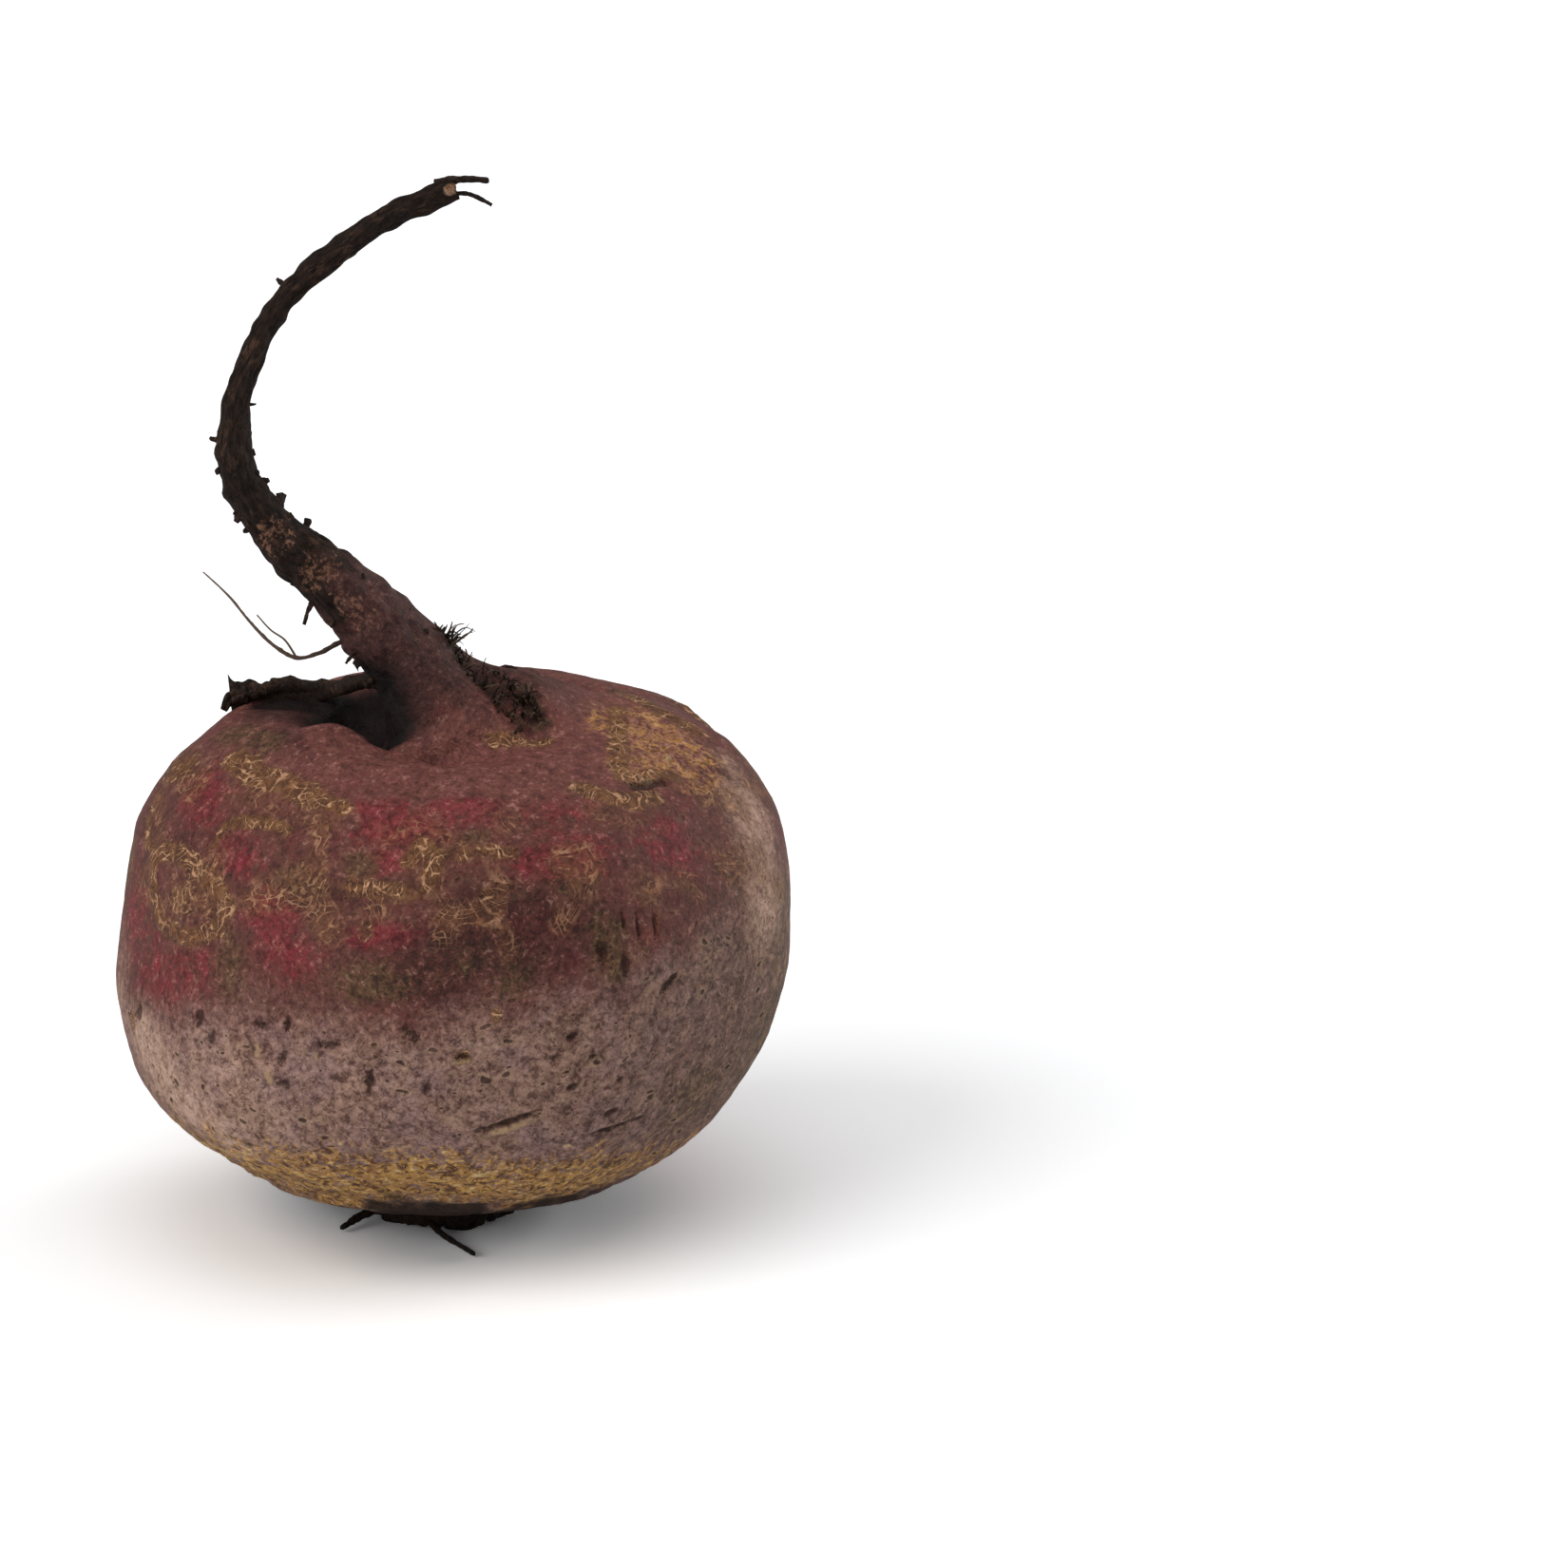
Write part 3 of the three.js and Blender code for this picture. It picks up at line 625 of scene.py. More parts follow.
def speckleGroup():
    # the skin's own grain, as pale flecks, dark flecks and a height
    tree, given, out = newGroup(
        "skinSpeckle",
        [("Vector", "NodeSocketVector", None), ("Size", "NodeSocketFloat", 0.5)],
        [("Pale", "NodeSocketFloat"), ("Dark", "NodeSocketFloat"), ("Height", "NodeSocketFloat")],
    )
    scale = calc(tree, "DIVIDE", 1.0, given["Size"])
    fine = grainNoise(tree, given["Vector"], scale, 3.0, 0.7, 0.8)
    coarse = grainNoise(tree, given["Vector"], calc(tree, "MULTIPLY", scale, 0.42), 3.0, 0.6, 0.5)
    both = calc(tree, "ADD", calc(tree, "MULTIPLY", fine, 0.6), calc(tree, "MULTIPLY", coarse, 0.4))
    tree.links.new(spread(tree, both, 0.55, 0.66), out["Pale"])
    tree.links.new(spread(tree, both, 0.45, 0.36), out["Dark"])
    tree.links.new(both, out["Height"])
    return tree


def netGroup():
    # the scribbled net of raised cork: the height lines of two slow fields, broken here and there
    tree, given, out = newGroup(
        "corkNet",
        [("Vector", "NodeSocketVector", None), ("Size", "NodeSocketFloat", 4.0),
         ("Turns", "NodeSocketFloat", 7.0), ("Width", "NodeSocketFloat", 0.3),
         ("Phase", "NodeSocketFloat", 0.0)],
        [("Line", "NodeSocketFloat")],
    )
    scale = calc(tree, "DIVIDE", 1.0, given["Size"])
    fine = grainNoise(tree, given["Vector"], 1.6, 2.0)
    lines = []
    for offset, faint in ((0, 1.0), (17, 0.8)):
        inputs = {"Vector": given["Vector"], "Location": (offset, 0, offset)}
        moved = nodeIn(tree, "ShaderNodeMapping", inputs)
        field = grainNoise(tree, moved.outputs[0], scale, 1.5, 0.45, 0.5)
        phase = calc(tree, "ADD", calc(tree, "MULTIPLY", field, given["Turns"]), given["Phase"])
        fold = calc(tree, "PINGPONG", phase, 0.5)
        width = calc(tree, "MULTIPLY", given["Width"], spread(tree, fine, 0.3, 0.7, 0.3, 1.2))
        line = calc(tree, "SUBTRACT", 1.0, calc(tree, "DIVIDE", fold, width), clamp=True)
        lines.append(calc(tree, "MULTIPLY", spread(tree, line, 0.0, 0.6), faint))
    broken = spread(tree, grainNoise(tree, given["Vector"], 0.5, 2.0), 0.32, 0.5)
    tree.links.new(calc(tree, "MULTIPLY", calc(tree, "MAXIMUM", *lines), broken), out["Line"])
    return tree


def pitGroup():
    # scattered lenticels: short dark slits with a paler rim
    tree, given, out = newGroup(
        "lenticels",
        [("Vector", "NodeSocketVector", None), ("Spacing", "NodeSocketFloat", 3.0),
         ("Share", "NodeSocketFloat", 0.5)],
        [("Pit", "NodeSocketFloat"), ("Rim", "NodeSocketFloat")],
    )
    bend = nodeIn(tree, "ShaderNodeTexNoise", {"Vector": given["Vector"], "Scale": 0.5, "Detail": 1.0})
    centred = nodeIn(tree, "ShaderNodeVectorMath", {0: bend.outputs["Color"], 1: (0.5, 0.5, 0.5)},
                     operation="SUBTRACT").outputs[0]
    pushed = nodeIn(tree, "ShaderNodeVectorMath", {0: centred, 1: (1.6, 1.6, 1.6), 2: given["Vector"]},
                    operation="MULTIPLY_ADD").outputs[0]
    flat = nodeIn(tree, "ShaderNodeMapping", {"Vector": pushed, "Scale": (1.0, 1.0, 1.9)}).outputs[0]
    scale = calc(tree, "DIVIDE", 1.0, given["Spacing"])
    cell = nodeIn(tree, "ShaderNodeTexVoronoi", {"Vector": flat, "Scale": scale, "Randomness": 1.0})
    chance = nodeIn(tree, "ShaderNodeSeparateColor", {"Color": cell.outputs["Color"]}).outputs
    chosen = calc(tree, "LESS_THAN", chance[0], given["Share"])
    size = calc(tree, "MULTIPLY", calc(tree, "ADD", chance[1], 0.45), 0.13)
    reach = calc(tree, "DIVIDE", cell.outputs["Distance"], size)
    tree.links.new(calc(tree, "MULTIPLY", spread(tree, reach, 1.15, 0.6), chosen), out["Pit"])
    ring = calc(tree, "MULTIPLY", spread(tree, reach, 1.0, 1.4), spread(tree, reach, 2.6, 1.5))
    tree.links.new(calc(tree, "MULTIPLY", ring, chosen), out["Rim"])
    return tree


def barkGroup():
    # dried root bark: fibres that run with the root
    tree, given, out = newGroup(
        "rootBark",
        [("Vector", "NodeSocketVector", None), ("Fibre", "NodeSocketVector", None)],
        [("Colour", "NodeSocketColor"), ("Height", "NodeSocketFloat")],
    )
    fibre = grainNoise(tree, given["Fibre"], 2.6, 4.0, 0.65, 0.6)
    patch = grainNoise(tree, given["Vector"], 0.33, 3.0, 0.6)
    colour = blendColour(tree, spread(tree, fibre, 0.34, 0.66), paint(22, 16, 13), paint(54, 38, 31))
    warm = calc(tree, "MULTIPLY", spread(tree, patch, 0.5, 0.66), spread(tree, fibre, 0.42, 0.62))
    colour = blendColour(tree, calc(tree, "MULTIPLY", warm, 0.7), colour, paint(92, 66, 52))
    tree.links.new(colour, out["Colour"])
    tree.links.new(calc(tree, "ADD", fibre, calc(tree, "MULTIPLY", patch, 0.5)), out["Height"])
    return tree


groups = dict(speckle=speckleGroup(), net=netGroup(), pits=pitGroup(), bark=barkGroup())


def newMaterial(name, roughness, specular):
    material = bpy.data.materials.new(name)
    material.use_nodes = True
    tree = material.node_tree
    shader = tree.nodes["Principled BSDF"]
    shader.inputs["Roughness"].default_value = roughness
    shader.inputs["Specular IOR Level"].default_value = specular
    return material, tree, shader


def bumpInto(tree, shader, height, distance):
    node = nodeIn(tree, "ShaderNodeBump", {"Height": height, "Distance": distance * mm})
    tree.links.new(node.outputs[0], shader.inputs["Normal"])


# the skin's tones as seen on screen: the dark and the light grains of each. Tan is also painted shade low
# on the right side, cream also painted highlights, and the last one is the painted shade under the bulb
tones = dict(
    rind=((92, 52, 47), (122, 76, 69)), burgundy=((92, 42, 42), (124, 60, 59)),
    umber=((76, 46, 36), (114, 80, 62)), mauve=((112, 66, 62), (146, 89, 83)),
    crimson=((100, 25, 33), (160, 57, 70)), belt=((44, 23, 22), (90, 47, 42)),
    lower=((104, 74, 64), (176, 140, 124)), lavender=((108, 78, 75), (172, 138, 130)),
    tan=((70, 48, 38), (130, 100, 82)), olive=((60, 44, 30), (122, 96, 66)),
    cream=((176, 136, 116), (228, 194, 172)), golden=((140, 88, 36), (222, 166, 88)),
    scab=((112, 66, 54), (186, 130, 106)), neck=((50, 31, 30), (92, 60, 56)),
    ochre=((80, 50, 34), (136, 96, 58)), gold=((164, 114, 76), (224, 174, 138)),
    cork=((150, 100, 44), (236, 186, 100)), warm=((84, 54, 44), (168, 122, 100)),
    crumbs=((34, 24, 18), (110, 84, 66)), wood=((120, 74, 40), (214, 178, 150)),
    soilAndShade=((44, 31, 23), (70, 50, 32)),
)


def skinMaterial():
    material, tree, shader = newMaterial("beetSkin", 0.62, 0.22)
    place = millimetres(tree)
    mask = {name: attribute(tree, name) for name in maskNames + broadMasks}
    fleck = useGroup(tree, groups["speckle"], {"Vector": place, "Size": 0.62})
    cloud = grainNoise(tree, place, 0.16, 4.0, 0.6)
    blotch = grainNoise(tree, place, 0.5, 5.0, 0.7, 0.6)
    crumb = grainNoise(tree, place, 1.5, 4.0, 0.7, 0.3)
    mottle = spread(tree, fleck["Height"], 0.38, 0.62)

    def times(a, b):
        return calc(tree, "MULTIPLY", a, b)

    def highest(a, b):
        return calc(tree, "MAXIMUM", a, b)

    def over(under, share, top):
        return blendColour(tree, share, under, top)

    def tone(name, share=mottle):
        dark, light = tones[name]
        return over(paint(*dark), share, paint(*light))

    ragged = calc(tree, "ADD", times(blotch, 0.9), times(crumb, 0.7))
    ragged = calc(tree, "SUBTRACT", ragged, 0.8)

    def broken(name, low, high, amount=1.0):
        # a mask whose edge is torn up by the blotches and crumbs
        inside = times(spread(tree, mask[name], 0.0, 0.25), times(ragged, amount))
        return spread(tree, calc(tree, "ADD", mask[name], inside), low, high)

    # the rind's colours, from maroon above to greyish mauve below, with painted shade low on the right
    # side and painted highlights on the right flank and low on the left
    colour = over(tone("rind"), spread(tree, blotch, 0.44, 0.62, 0, 0.65), tone("burgundy"))
    colour = over(colour, spread(tree, cloud, 0.5, 0.62, 0, 0.35), tone("umber"))
    colour = over(colour, times(mask["mauve"], 0.55), tone("mauve"))
    colour = over(colour, times(broken("crimson", 0.0, 1.25, 2.3), 0.84), tone("crimson"))
    colour = over(colour, times(broken("belt", 0.0, 0.9, 1.5), 0.9), tone("belt"))
    lower = over(tone("lower"), spread(tree, cloud, 0.42, 0.6), tone("lavender"))
    lower = over(lower, spread(tree, blotch, 0.56, 0.74, 0, 0.5), paint(98, 68, 56))
    # painted shade on the lower right side: browner and darker
    shadedRight = over(tone("tan"), spread(tree, blotch, 0.5, 0.66), paint(112, 76, 70))
    colour = over(colour, mask["grey"], over(lower, times(mask["shadedRight"], 0.62), shadedRight))
    # olive spots, and the painted shade low on the right side
    colour = over(colour, times(broken("olive", 0.1, 1.0, 2.4), 0.78), tone("olive"))
    # pale skin and painted highlights, in cream
    colour = over(colour, times(broken("pale", 0.0, 1.25, 1.5), 0.8), tone("cream"))
    scabby = tone("scab", spread(tree, crumb, 0.4, 0.6))
    scabby = over(scabby, spread(tree, blotch, 0.46, 0.56, 0, 0.85), tone("golden"))
    scabby = over(scabby, spread(tree, crumb, 0.47, 0.38, 0, 0.8), paint(74, 42, 32))
    colour = over(colour, times(broken("scab", 0.1, 0.9, 2.4), 0.88), scabby)
    colour = over(colour, times(mask["neck"], 0.9), tone("neck"))
    paleFlecks = times(fleck["Pale"], spread(tree, mask["neck"], 0, 1, 0.38, 0.16))
    colour = over(colour, paleFlecks, paint(204, 162, 150))
    colour = over(colour, times(fleck["Dark"], 0.42), paint(50, 27, 25))

    # corky scribbles, the swirl, and the corky ring above the crown
    loose = {"Vector": place, "Size": 6.5, "Turns": 15.0, "Width": 0.2}
    scribble = useGroup(tree, groups["net"], loose)["Line"]
    inputs = {0: place, 1: swirl["centre"]}
    reach = nodeIn(tree, "ShaderNodeVectorMath", inputs, operation="DISTANCE").outputs[1]
    rings = calc(tree, "DIVIDE", reach, swirl["pitch"])
    wound = {"Vector": place, "Size": 5.0, "Turns": 9.0, "Width": 0.24, "Phase": rings}
    whorl = useGroup(tree, groups["net"], wound)["Line"]
    faint = times(mask["scribble"], 0.6)
    ochreArea = broken("ochre", 0.1, 0.75, 2.2)
    swirlArea = broken("swirl", 0.1, 0.75, 2.0)
    ground = highest(highest(times(ochreArea, 0.8), times(swirlArea, 0.7)), times(faint, 0.6))
    colour = over(colour, ground, tone("ochre"))
    share = highest(times(scribble, highest(ochreArea, faint)), times(whorl, swirlArea))
    share = highest(share, times(times(scribble, mask["scab"]), 0.8))
    gold = tone("gold", spread(tree, blotch, 0.4, 0.6))
    colour = over(colour, times(share, spread(tree, crumb, 0.35, 0.6, 0.5, 1.0)), gold)
    flake = grainNoise(tree, place, 0.8, 3.0, 0.65, 0.8)
    ring = over(tone("cork"), spread(tree, blotch, 0.5, 0.62, 0, 0.6), paint(164, 116, 92))
    ring = over(ring, spread(tree, flake, 0.49, 0.4, 0, 0.9), paint(74, 42, 24))
    ring = over(ring, spread(tree, flake, 0.58, 0.66, 0, 0.75), paint(246, 218, 160))
    colour = over(colour, times(broken("cork", 0.25, 0.95, 4.0), 0.95), ring)
    # painted shade under the bulb round the crown, near-black brown over the underside's own dark skin
    shaded = over(paint(20, 14, 11), mottle, tone("soilAndShade", crumb))
    colour = over(colour, times(mask["under"], 0.95), shaded)

    # pits with paler rims
    lowDown = calc(tree, "ADD", times(mask["grey"], 0.7), 0.3)
    notRoot = calc(tree, "SUBTRACT", 1.0, highest(mask["neck"], mask["under"]))
    pitShare, rimShare = broken("pit", 0.15, 0.9, 1.8), broken("lip", 0.2, 0.8, 1.6)
    for spacing, chosen, rim in ((3.0, 0.4, 0.35), (1.5, 0.32, 0.15)):
        pits = useGroup(tree, groups["pits"], {"Vector": place, "Spacing": spacing, "Share": chosen})
        pitShare = highest(pitShare, times(pits["Pit"], lowDown))
        rimShare = highest(rimShare, times(times(pits["Rim"], lowDown), rim))
    pitShare, rimShare = times(pitShare, notRoot), times(rimShare, notRoot)
    colour = over(colour, times(rimShare, 0.7), paint(190, 158, 122))
    colour = over(colour, times(pitShare, 0.8), paint(54, 31, 27))

    # bark of the neck and tap root, the cavity beside the neck with painted shade round it and near-black
    # painted shade in it, and the torn wood at the tip
    fibre = attribute(tree, "barkPlace", "Vector")
    bark = useGroup(tree, groups["bark"], {"Vector": place, "Fibre": fibre})
    colour = over(colour, broken("bark", 0.3, 0.8, 0.8), bark["Colour"])
    warmth = tone("warm", spread(tree, crumb, 0.45, 0.55))
    colour = over(colour, times(broken("warm", 0.5, 1.1, 4.4), 0.6), warmth)
    soilAndShade = tone("crumbs", spread(tree, crumb, 0.46, 0.6))
    colour = over(colour, times(broken("crumbs", 0.2, 0.6), 0.9), soilAndShade)
    # painted shade round the cavity, then near-black painted shade inside it
    colour = over(colour, times(broken("shade", 0.0, 1.0, 0.5), 0.8), paint(44, 26, 26))
    colour = over(colour, times(broken("cavity", 0.0, 0.7, 0.35), 0.98), paint(21, 14, 13))
    colour = over(colour, broken("wood", 0.3, 0.8), tone("wood"))
    tree.links.new(colour, shader.inputs["Base Color"])

    rough = spread(tree, fleck["Height"], 0.35, 0.65, 0.52, 0.74)
    rough = calc(tree, "ADD", rough, times(highest(mask["bark"], share), 0.2), True)
    tree.links.new(rough, shader.inputs["Roughness"])
    height = calc(tree, "ADD", times(fleck["Height"], 0.7), times(crumb, 0.5))
    height = calc(tree, "ADD", height, times(share, 0.5))
    height = calc(tree, "ADD", height, times(rimShare, 0.2))
    height = calc(tree, "SUBTRACT", height, times(pitShare, 0.9))
    barky = times(times(bark["Height"], mask["bark"]), 1.2)
    bumpInto(tree, shader, calc(tree, "ADD", height, barky), 0.5)
    return material


def barkMaterial():
    material, tree, shader = newMaterial("driedRoot", 0.75, 0.2)
    place = millimetres(tree)
    fibre = nodeIn(tree, "ShaderNodeMapping", {"Vector": place, "Scale": (1.0, 1.0, 0.6)}).outputs[0]
    bark = useGroup(tree, groups["bark"], {"Vector": place, "Fibre": fibre})
    end = attribute(tree, "end")
    colour = blendColour(tree, calc(tree, "MULTIPLY", end, 0.75), bark["Colour"], paint(150, 126, 108))
    tree.links.new(colour, shader.inputs["Base Color"])
    bumpInto(tree, shader, bark["Height"], 0.15)
    return material


def crownMaterial():
    material, tree, shader = newMaterial("driedCrown", 0.8, 0.2)
    place = millimetres(tree)
    fibre = nodeIn(tree, "ShaderNodeMapping", {"Vector": place, "Scale": (1.0, 1.0, 0.25)}).outputs[0]
    streak = grainNoise(tree, fibre, 3.0, 4.0, 0.65)
    colour = blendColour(tree, spread(tree, streak, 0.36, 0.66), paint(20, 14, 11), paint(52, 38, 29))
    tree.links.new(colour, shader.inputs["Base Color"])
    bumpInto(tree, shader, streak, 0.25)
    return material


materials = dict(skin=skinMaterial(), bark=barkMaterial(), crown=crownMaterial())
print("materials made")


def growTube(bm, points, fromRadius, toRadius, sides, rows, knobs=0.0, endMask=(0.0, 0.0)):
    # a root that follows points; knobs is the height of its lumps and endMask fades its colour along it
    layer = bm.verts.layers.float.get("end") or bm.verts.layers.float.new("end")
    points = [Vector(p) for p in points]
    waveSize, lumpSize = max(1.2 * fromRadius, 0.6), max(0.6 * fromRadius, 0.3)
    here = Matrix.Identity(4)
    verts = bmesh.ops.create_circle(bm, cap_ends=True, segments=sides, radius=1)["verts"]
    edges = list({e for v in verts for e in v.link_edges})
    away = Vector((0.1, 1, 0.05))
    for row in range(rows + 1):
        share = row / rows
        place = share * (len(points) - 1)
        centre = curvePoint(points, place)
        ahead = curvePoint(points, min(place + 0.02, len(points) - 1))
        behind = curvePoint(points, max(place - 0.02, 0))
        up = (ahead - behind).normalized()
        away = (away - up * away.dot(up)).normalized()
        right = away.cross(up)
        radius = fromRadius + (toRadius - fromRadius) * share
        radius *= 1 + knobs * noise.noise(centre / waveSize)
        turn = Matrix((right, away, up)).transposed().to_4x4()
        there = Matrix.Translation(centre) @ turn @ Matrix.Scale(radius, 4)
        if row:
            verts, edges = ringOf(bmesh.ops.extrude_edge_only(bm, edges=edges)["geom"])
        bmesh.ops.transform(bm, matrix=there @ here.inverted(), verts=verts)
        for vert in verts:
            vert[layer] = endMask[0] + (endMask[1] - endMask[0]) * share
            if knobs and sides > 6:
                lump = noise.noise(vert.co / lumpSize)
                vert.co += (vert.co - centre) * knobs * 0.6 * lump
        here = there
    bmesh.ops.edgeloop_fill(bm, edges=edges)


# the skin: bulb, neck and tap root in one
skin = finishMesh("beetSkin", growBody(), materials["skin"])
print("skin grown, triangles", sum(len(p.vertices) - 2 for p in skin.data.polygons))

sideRoots = dict(
    shoulder=[(-5.5, -1.0, 65.4), (-12.5, 4.0, 62.2), (-18.5, 6.4, 61.1), (-22.4, 6.6, 59.9),
              (-24.2, 6.0, 59.8)],
    knob=[(-22.4, 6.4, 60.9), (-24.3, 6.0, 60.5), (-25.0, 5.6, 59.2)],
    whisker=[(-7.5, -5.0, 71.2), (-10.6, -5.4, 70.6), (-13.2, -6.0, 69.4), (-15.6, -6.5, 69.0),
             (-18.2, -6.9, 70.6), (-20.6, -7.1, 73.2), (-23.2, -7.2, 76.6), (-26.0, -7.2, 79.4)],
    fork=[(-15.6, -6.5, 69.0), (-17.0, -5.6, 70.9), (-18.6, -5.0, 71.9), (-20.2, -4.6, 73.6)],
    hook=[(-11.6, -6.6, 76.4), (-13.8, -7.6, 75.6), (-14.6, -8.0, 73.4)],
)
bm = bmesh.new()
growTube(bm, sideRoots["shoulder"], 1.2, 0.55, 14, 60, knobs=0.45)
growTube(bm, sideRoots["knob"], 1.05, 0.35, 14, 18, knobs=0.4)
growTube(bm, sideRoots["whisker"], 0.34, 0.07, 7, 70, knobs=0.3, endMask=(0.0, 1.0))
growTube(bm, sideRoots["fork"], 0.16, 0.1, 5, 30, endMask=(0.4, 1.0))
growTube(bm, sideRoots["hook"], 0.36, 0.22, 7, 18, knobs=0.3)
finishPiece("sideRoots", bm, materials["bark"])

skinPlaces = [v.co / mm for v in skin.data.vertices]
skinTree = BVHTree.FromPolygons(skinPlaces, [p.vertices for p in skin.data.polygons])
tuft = dict(
    seed=5, path=[(0.6, -3.8, 72.0), (2.6, -4.4, 70.4), (5.8, -5.4, 68.2), (8.8, -7.0, 65.6),
                  (11.6, -8.6, 62.8)],
    # clumps: how far along the path, 0 to 4, number of rootlets, their length and how far they scatter
    clumps=[(0.35, 7, 1.2, 0.5), (0.8, 9, 1.6, 0.4), (1.0, 9, 3.0, 0.25), (1.5, 12, 1.4, 0.6),
            (1.9, 14, 1.9, 0.6), (2.3, 18, 1.7, 0.7), (2.8, 22, 1.9, 0.8), (3.3, 24, 2.1, 0.8),
            (3.7, 22, 1.8, 0.9)],
    lengths=(0.5, 1.3), curls=(0.0, 0.6), thick=(0.08, 0.2), paleness=(0, 0, 0.3, 0.6),
    grains=60, grainSize=(0.08, 0.26), grainPaleness=(0, 0.1, 0.2, 0.4, 0.8), wander=0.9,
)


def tuftFoot(rng, along, scatter):
    middle = curvePoint([Vector(p) for p in tuft["path"]], along)
    near = middle + Vector((rng.gauss(0, scatter), rng.gauss(0, scatter), rng.gauss(0, scatter)))
    foot, normal = skinTree.find_nearest(near)[:2]
    return foot, normal


def rootTuft():
    # dried rootlets in clumps, and crumbs of soil, along the furrow on the neck's right side
    bm = bmesh.new()
    endLayer = bm.verts.layers.float.new("end")
    rng = random.Random(tuft["seed"])
    for along, count, reach, scatter in tuft["clumps"]:
        for _ in range(count):
            foot, normal = tuftFoot(rng, along, scatter)
            length = reach * rng.uniform(*tuft["lengths"])
            lean = normal + Vector((rng.gauss(0, 0.5), rng.gauss(0, 0.5), 0.3 + rng.gauss(0, 0.4)))
            lean.normalize()
            bend = lean.cross(Vector((rng.gauss(0, 1), rng.gauss(0, 1), rng.gauss(0, 1)))).normalized()
            curl = rng.uniform(*tuft["curls"])
            points = [foot - lean * 0.5, foot + (lean * 0.35 - bend * 0.1 * curl) * length,
                      foot + (lean * 0.75 + bend * 0.2 * curl) * length,
                      foot + (lean * (1 - 0.3 * curl) + bend * curl) * length]
            thick = rng.uniform(*tuft["thick"])
            fade = (0.0, rng.choice(tuft["paleness"]))
            growTube(bm, points, thick, thick * 0.45, 5, 7, knobs=0.5, endMask=fade)
    for _ in range(tuft["grains"]):
        foot, normal = tuftFoot(rng, rng.uniform(0.2, len(tuft["path"]) - 1.01), tuft["wander"])
        size = rng.uniform(*tuft["grainSize"])
        grain = bmesh.ops.create_icosphere(bm, subdivisions=2, radius=size)["verts"]
        squash = Matrix.Diagonal((rng.uniform(0.5, 1.5), rng.uniform(0.5, 1.5), rng.uniform(0.4, 0.8), 1))
        paleness = rng.choice(tuft["grainPaleness"])
        for vert in grain:
            vert.co *= 1 + 0.7 * noise.noise(vert.co * 1.6 / size + foot)
            vert[endLayer] = paleness
        turn = normal.to_track_quat("Z", "Y").to_matrix().to_4x4()
        bmesh.ops.transform(bm, matrix=Matrix.Translation(foot) @ turn @ squash, verts=grain)
    return bm


finishPiece("rootTuft", rootTuft(), materials["bark"])

stumps = dict(
    seed=8, count=26, stations=(16.6, 22.5), reach=(0.1, 0.5), thick=(0.35, 0.8),
    # station, turn round the root in radians, reach and thickness of the few that stand out
    chosen=[(22.4, 3.1, 1.2, 0.5), (23.2, 0.1, 0.9, 0.2), (25.2, 2.6, 0.7, 0.5), (20.4, 0.6, 1.3, 0.8),
            (19.6, 0.5, 0.8, 0.6), (20.9, 3.6, 0.6, 0.3), (21.8, 3.3, 0.5, 0.6), (21.2, 0.2, 0.6, 0.7),
            (18.2, 3.9, 0.9, 0.5), (17.4, 3.7, 1.0, 0.35), (22.0, 0.3, 0.4, 0.6)],
)


def rootStump(bm, rng, station, turn, reach, thick):
    ring = ringMatrix(station)
    foot = ring @ Vector((0.5 * math.cos(turn), 0.5 * math.sin(turn), 0))
    skinSpot = ring @ Vector((0.96 * math.cos(turn), 0.96 * math.sin(turn), 0))
    out = (skinSpot - foot).normalized()
    sway = Vector((rng.gauss(0, 0.2), rng.gauss(0, 0.2), rng.gauss(0, 0.4))) * reach
    points = [foot, skinSpot, skinSpot + out * reach * 0.6 + sway * 0.5, skinSpot + out * reach + sway]
    growTube(bm, points, thick, thick * 0.5, 8, 9, knobs=0.6)


def rootStumps():
    bm = bmesh.new()
    rng = random.Random(stumps["seed"])
    low, high = stumps["stations"]
    for n in range(stumps["count"]):
        station = low + (high - low) * (n + rng.random()) / stumps["count"]
        turn = (0 if n % 2 else math.pi) + rng.gauss(0, 0.6)
        rootStump(bm, rng, station, turn, rng.uniform(*stumps["reach"]), rng.uniform(*stumps["thick"]))
    for station, turn, reach, thick in stumps["chosen"]:
        rootStump(bm, rng, station, turn, reach, thick)
    return bm


finishPiece("rootStumps", rootStumps(), materials["bark"])
print("roots grown")

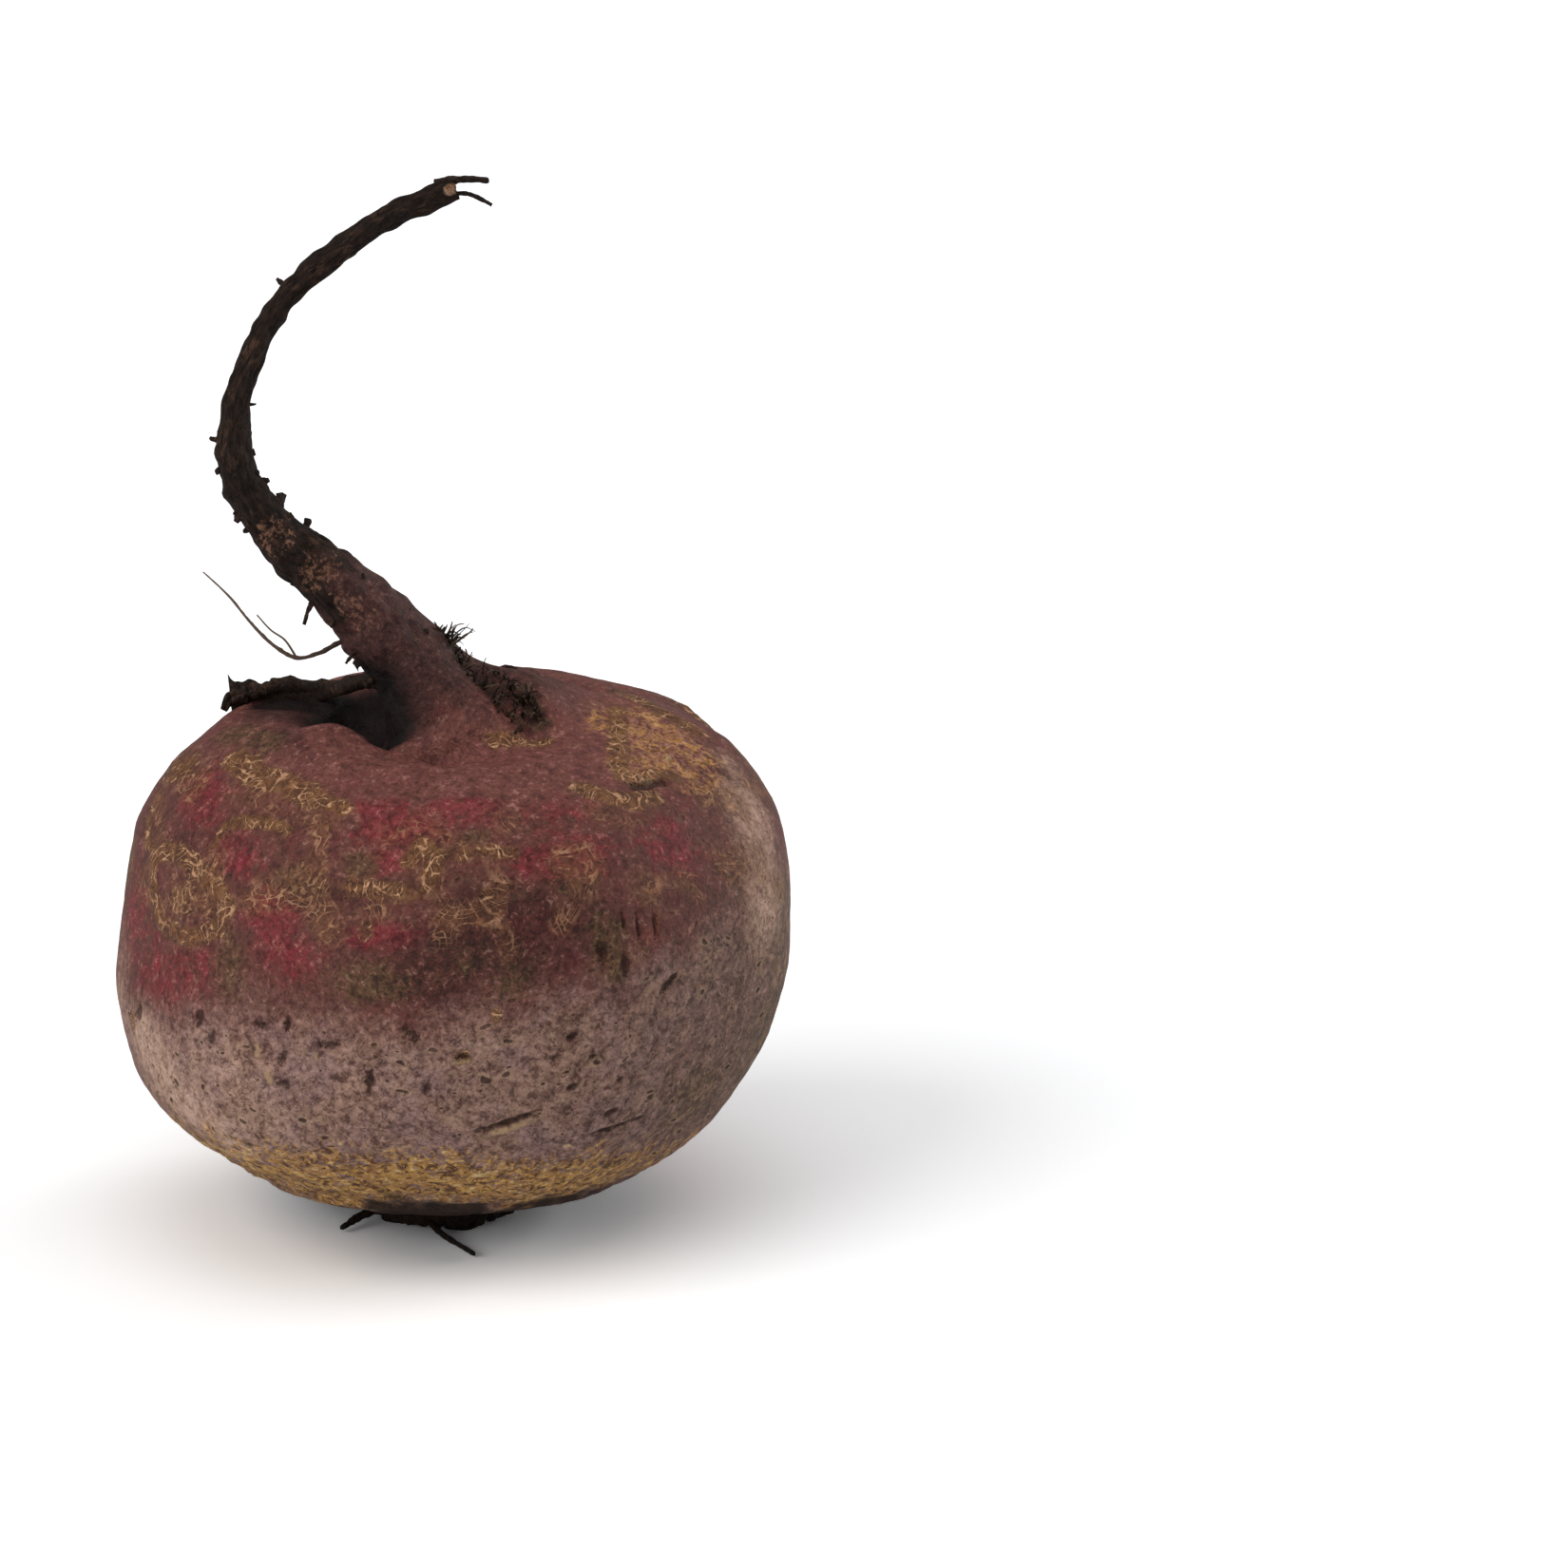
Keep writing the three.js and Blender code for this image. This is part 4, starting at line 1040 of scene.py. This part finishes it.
crown = dict(
    rootZ=5.0, core=2.5, coreTop=2.875,
    # cut leaf stalks in rings: how far out and how big they are, and how much of each is missing below
    whorls=[
        dict(radius=7.2, width=4.6, thickness=2.1, turn=0.2, short=(0, 0, 0.7, 0, 0.3, 0, 1.1, 0, 0.4)),
        dict(radius=4.1, width=3.6, thickness=1.5, turn=0.5, short=(0.5, 0.2, 0.9, 0.3, 0.6, 0.2)),
    ],
    # a stub is hollow inward, narrows upward and is a little uneven
    stubSides=28, stubRows=10, stubHollow=(0.35, 0.32), stubNarrows=(0.994, 0.99, 1), stubUneven=0.22,
    # the ragged collar of old leaf bases round the stubs: radius and height of its rings, from inside out
    collar=[(5.6, 1.5), (6.6, 1.3), (7.6, 0.8), (8.4, 0.55), (8.9, 0.8), (9.3, 1.5), (9.7, 2.4),
            (9.4, 3.6)],
    collarFolds=23, foldSides=14, foldDepth=0.35, collarUneven=0.6, collarRagged=0.5,
    shreds=[
        [(-2.0, -6.0, 1.6), (-0.4, -10.0, 0.9), (4.2, -17.0, 0.6)],
        [(-6.0, -4.0, 1.8), (-9.4, -6.2, 1.2), (-11.6, -8.6, 0.6)],
        [(6.2, 3.0, 1.8), (10.2, 5.2, 1.1), (13.6, 5.4, 0.6)],
        [(-3.0, 6.6, 1.8), (-5.0, 10.4, 1.0), (-4.4, 14.2, 0.6)],
    ],
)


def leafStub(bm, whorl, angle, cutZ):
    # a crescent of dried stalk, hollow side inward, cut off flat
    before = set(bm.verts)
    verts = bmesh.ops.create_circle(bm, cap_ends=True, segments=crown["stubSides"], radius=1)["verts"]
    edges = list({e for v in verts for e in v.link_edges})
    half, thick = whorl["width"] / 2, whorl["thickness"]
    thinning, hollow = crown["stubHollow"]
    rise = (crown["rootZ"] - cutZ) / crown["stubRows"]
    for vert in verts:
        across = vert.co.y
        outward = 0.5 * thick * vert.co.x * (1 - thinning * across * across)
        vert.co = (whorl["radius"] + outward - hollow * thick * across * across, across * half, cutZ)
    for row in range(crown["stubRows"]):
        verts, edges = ringOf(bmesh.ops.extrude_edge_only(bm, edges=edges)["geom"])
        bmesh.ops.translate(bm, vec=(0, 0, rise), verts=verts)
        bmesh.ops.scale(bm, vec=crown["stubNarrows"], verts=verts)
    bmesh.ops.edgeloop_fill(bm, edges=edges)
    grown = [v for v in bm.verts if v not in before]
    bmesh.ops.rotate(bm, cent=(0, 0, 0), matrix=Matrix.Rotation(angle, 3, "Z"), verts=grown)
    for vert in grown:
        if vert.co.z > cutZ + 0.05:
            outward = Vector((vert.co.x, vert.co.y, 0)).normalized()
            lump = noise.noise(Vector((vert.co.x * 1.6, vert.co.y * 1.6, vert.co.z * 0.35)))
            vert.co += outward * crown["stubUneven"] * lump


def leafCollar(bm):
    count, uneven, ragged = crown["collarFolds"], crown["collarUneven"], crown["collarRagged"]
    sides = crown["foldSides"] * count
    verts = bmesh.ops.create_circle(bm, cap_ends=True, segments=sides, radius=1)["verts"]
    edges = list({e for v in verts for e in v.link_edges})
    for row, (radius, height) in enumerate(crown["collar"]):
        if row:
            verts, edges = ringOf(bmesh.ops.extrude_edge_only(bm, edges=edges)["geom"])
        for vert in verts:
            angle = math.atan2(vert.co.y, vert.co.x)
            around = Vector((math.cos(angle), math.sin(angle), 0))
            rough = noise.noise(around * 5) + 0.5 * noise.noise(around * 14)
            fold = crown["foldDepth"] * abs(math.sin(0.5 * count * angle + 2 * rough))
            up = Vector((0, 0, height + ragged * noise.noise(around * 9)))
            vert.co = around * (radius - fold + uneven * rough) + up
    bmesh.ops.edgeloop_fill(bm, edges=edges)


def crownPiece():
    bm = bmesh.new()
    core = dict(radius1=crown["core"], radius2=crown["coreTop"], depth=crown["rootZ"])
    made = bmesh.ops.create_cone(bm, cap_ends=True, segments=32, **core)["verts"]
    bmesh.ops.translate(bm, vec=(0, 0, crown["rootZ"] / 2), verts=made)
    for whorl in crown["whorls"]:
        for i, short in enumerate(whorl["short"]):
            leafStub(bm, whorl, whorl["turn"] + 2 * math.pi * i / len(whorl["short"]), short)
    leafCollar(bm)
    return bm


finishPiece("crownStubs", crownPiece(), materials["crown"])

bm = bmesh.new()
for shred in crown["shreds"]:
    growTube(bm, shred, 0.5, 0.26, 8, 26, knobs=0.4)
finishPiece("crownShreds", bm, materials["crown"])

tip = dict(splinters=[
    [(0.4, 4.0, 121.8), (3.6, 4.9, 122.2), (6.4, 5.6, 121.9)],
    [(1.6, 4.4, 120.6), (4.4, 5.0, 120.4), (6.8, 4.4, 119.3)],
], thick=(0.7, 0.28))
bm = bmesh.new()
for splinter, thick in zip(tip["splinters"], tip["thick"]):
    growTube(bm, splinter, thick, thick * 0.6, 8, 20, knobs=0.4)
finishPiece("tipSplinters", bm, materials["bark"])
print("crown and tip made")

# plain floor, soft studio light and the photograph's camera
floorMesh = bpy.data.meshes.new("floor")
bm = bmesh.new()
bmesh.ops.create_grid(bm, x_segments=1, y_segments=1, size=studio["floorSize"] * mm / 2)
bm.to_mesh(floorMesh)
bm.free()
floor = bpy.data.objects.new("floor", floorMesh)
bpy.context.scene.collection.objects.link(floor)
floorMaterial = bpy.data.materials.new("paleFloor")
floorMaterial.use_nodes = True
floorTree = floorMaterial.node_tree
# seen straight on, the floor is taken brighter than white, so that only its shadow shows
seen = nodeIn(floorTree, "ShaderNodeLightPath").outputs["Is Camera Ray"]
bright = spread(floorTree, seen, 0, 1, studio["floorBounce"], studio["floorSeen"])
tinted = {i: calc(floorTree, "MULTIPLY", bright, share) for i, share in enumerate(studio["floorTint"])}
whiteness = nodeIn(floorTree, "ShaderNodeCombineColor", tinted).outputs[0]
matt = nodeIn(floorTree, "ShaderNodeBsdfDiffuse", {"Color": whiteness})
floorTree.links.new(matt.outputs[0], floorTree.nodes["Material Output"].inputs["Surface"])
floorMesh.materials.append(floorMaterial)

world = bpy.data.worlds.new("studioWorld")
bpy.context.scene.world = world
world.use_nodes = True
sky = world.node_tree.nodes["Background"]
sky.inputs["Strength"].default_value = studio["skyLight"]
sky.inputs["Color"].default_value = (1, 1, 1, 1)

# soft lights: where each shines from, how wide it looks and how strong it is
lamps = [
    dict(name="key", place=(-0.9, -0.65, 0.75), spread=50, power=1.42),
    dict(name="overhead", place=(0.1, -0.2, 1.0), spread=60, power=0.75),
    dict(name="rim", place=(0.85, 0.5, 0.25), spread=24, power=1.1),
]
for lamp in lamps:
    data = bpy.data.lights.new(lamp["name"], "SUN")
    data.angle = math.radians(lamp["spread"])
    data.energy = lamp["power"]
    data.color = studio["lampColour"]
    light = bpy.data.objects.new(lamp["name"], data)
    light.location = Vector(lamp["place"])
    light.rotation_euler = Vector(lamp["place"]).to_track_quat("Z", "Y").to_euler()
    bpy.context.scene.collection.objects.link(light)

cameraData = bpy.data.cameras.new("camera")
cameraData.lens = studio["lens"]
cameraData.sensor_width = studio["sensor"]
camera = bpy.data.objects.new("camera", cameraData)
camera.location = Vector(studio["cameraPlace"]) * mm
camera.rotation_euler = (math.radians(90 - studio["cameraDrop"]), 0, 0)
bpy.context.scene.collection.objects.link(camera)
bpy.context.scene.camera = camera
bpy.context.scene.view_settings.view_transform = "Standard"
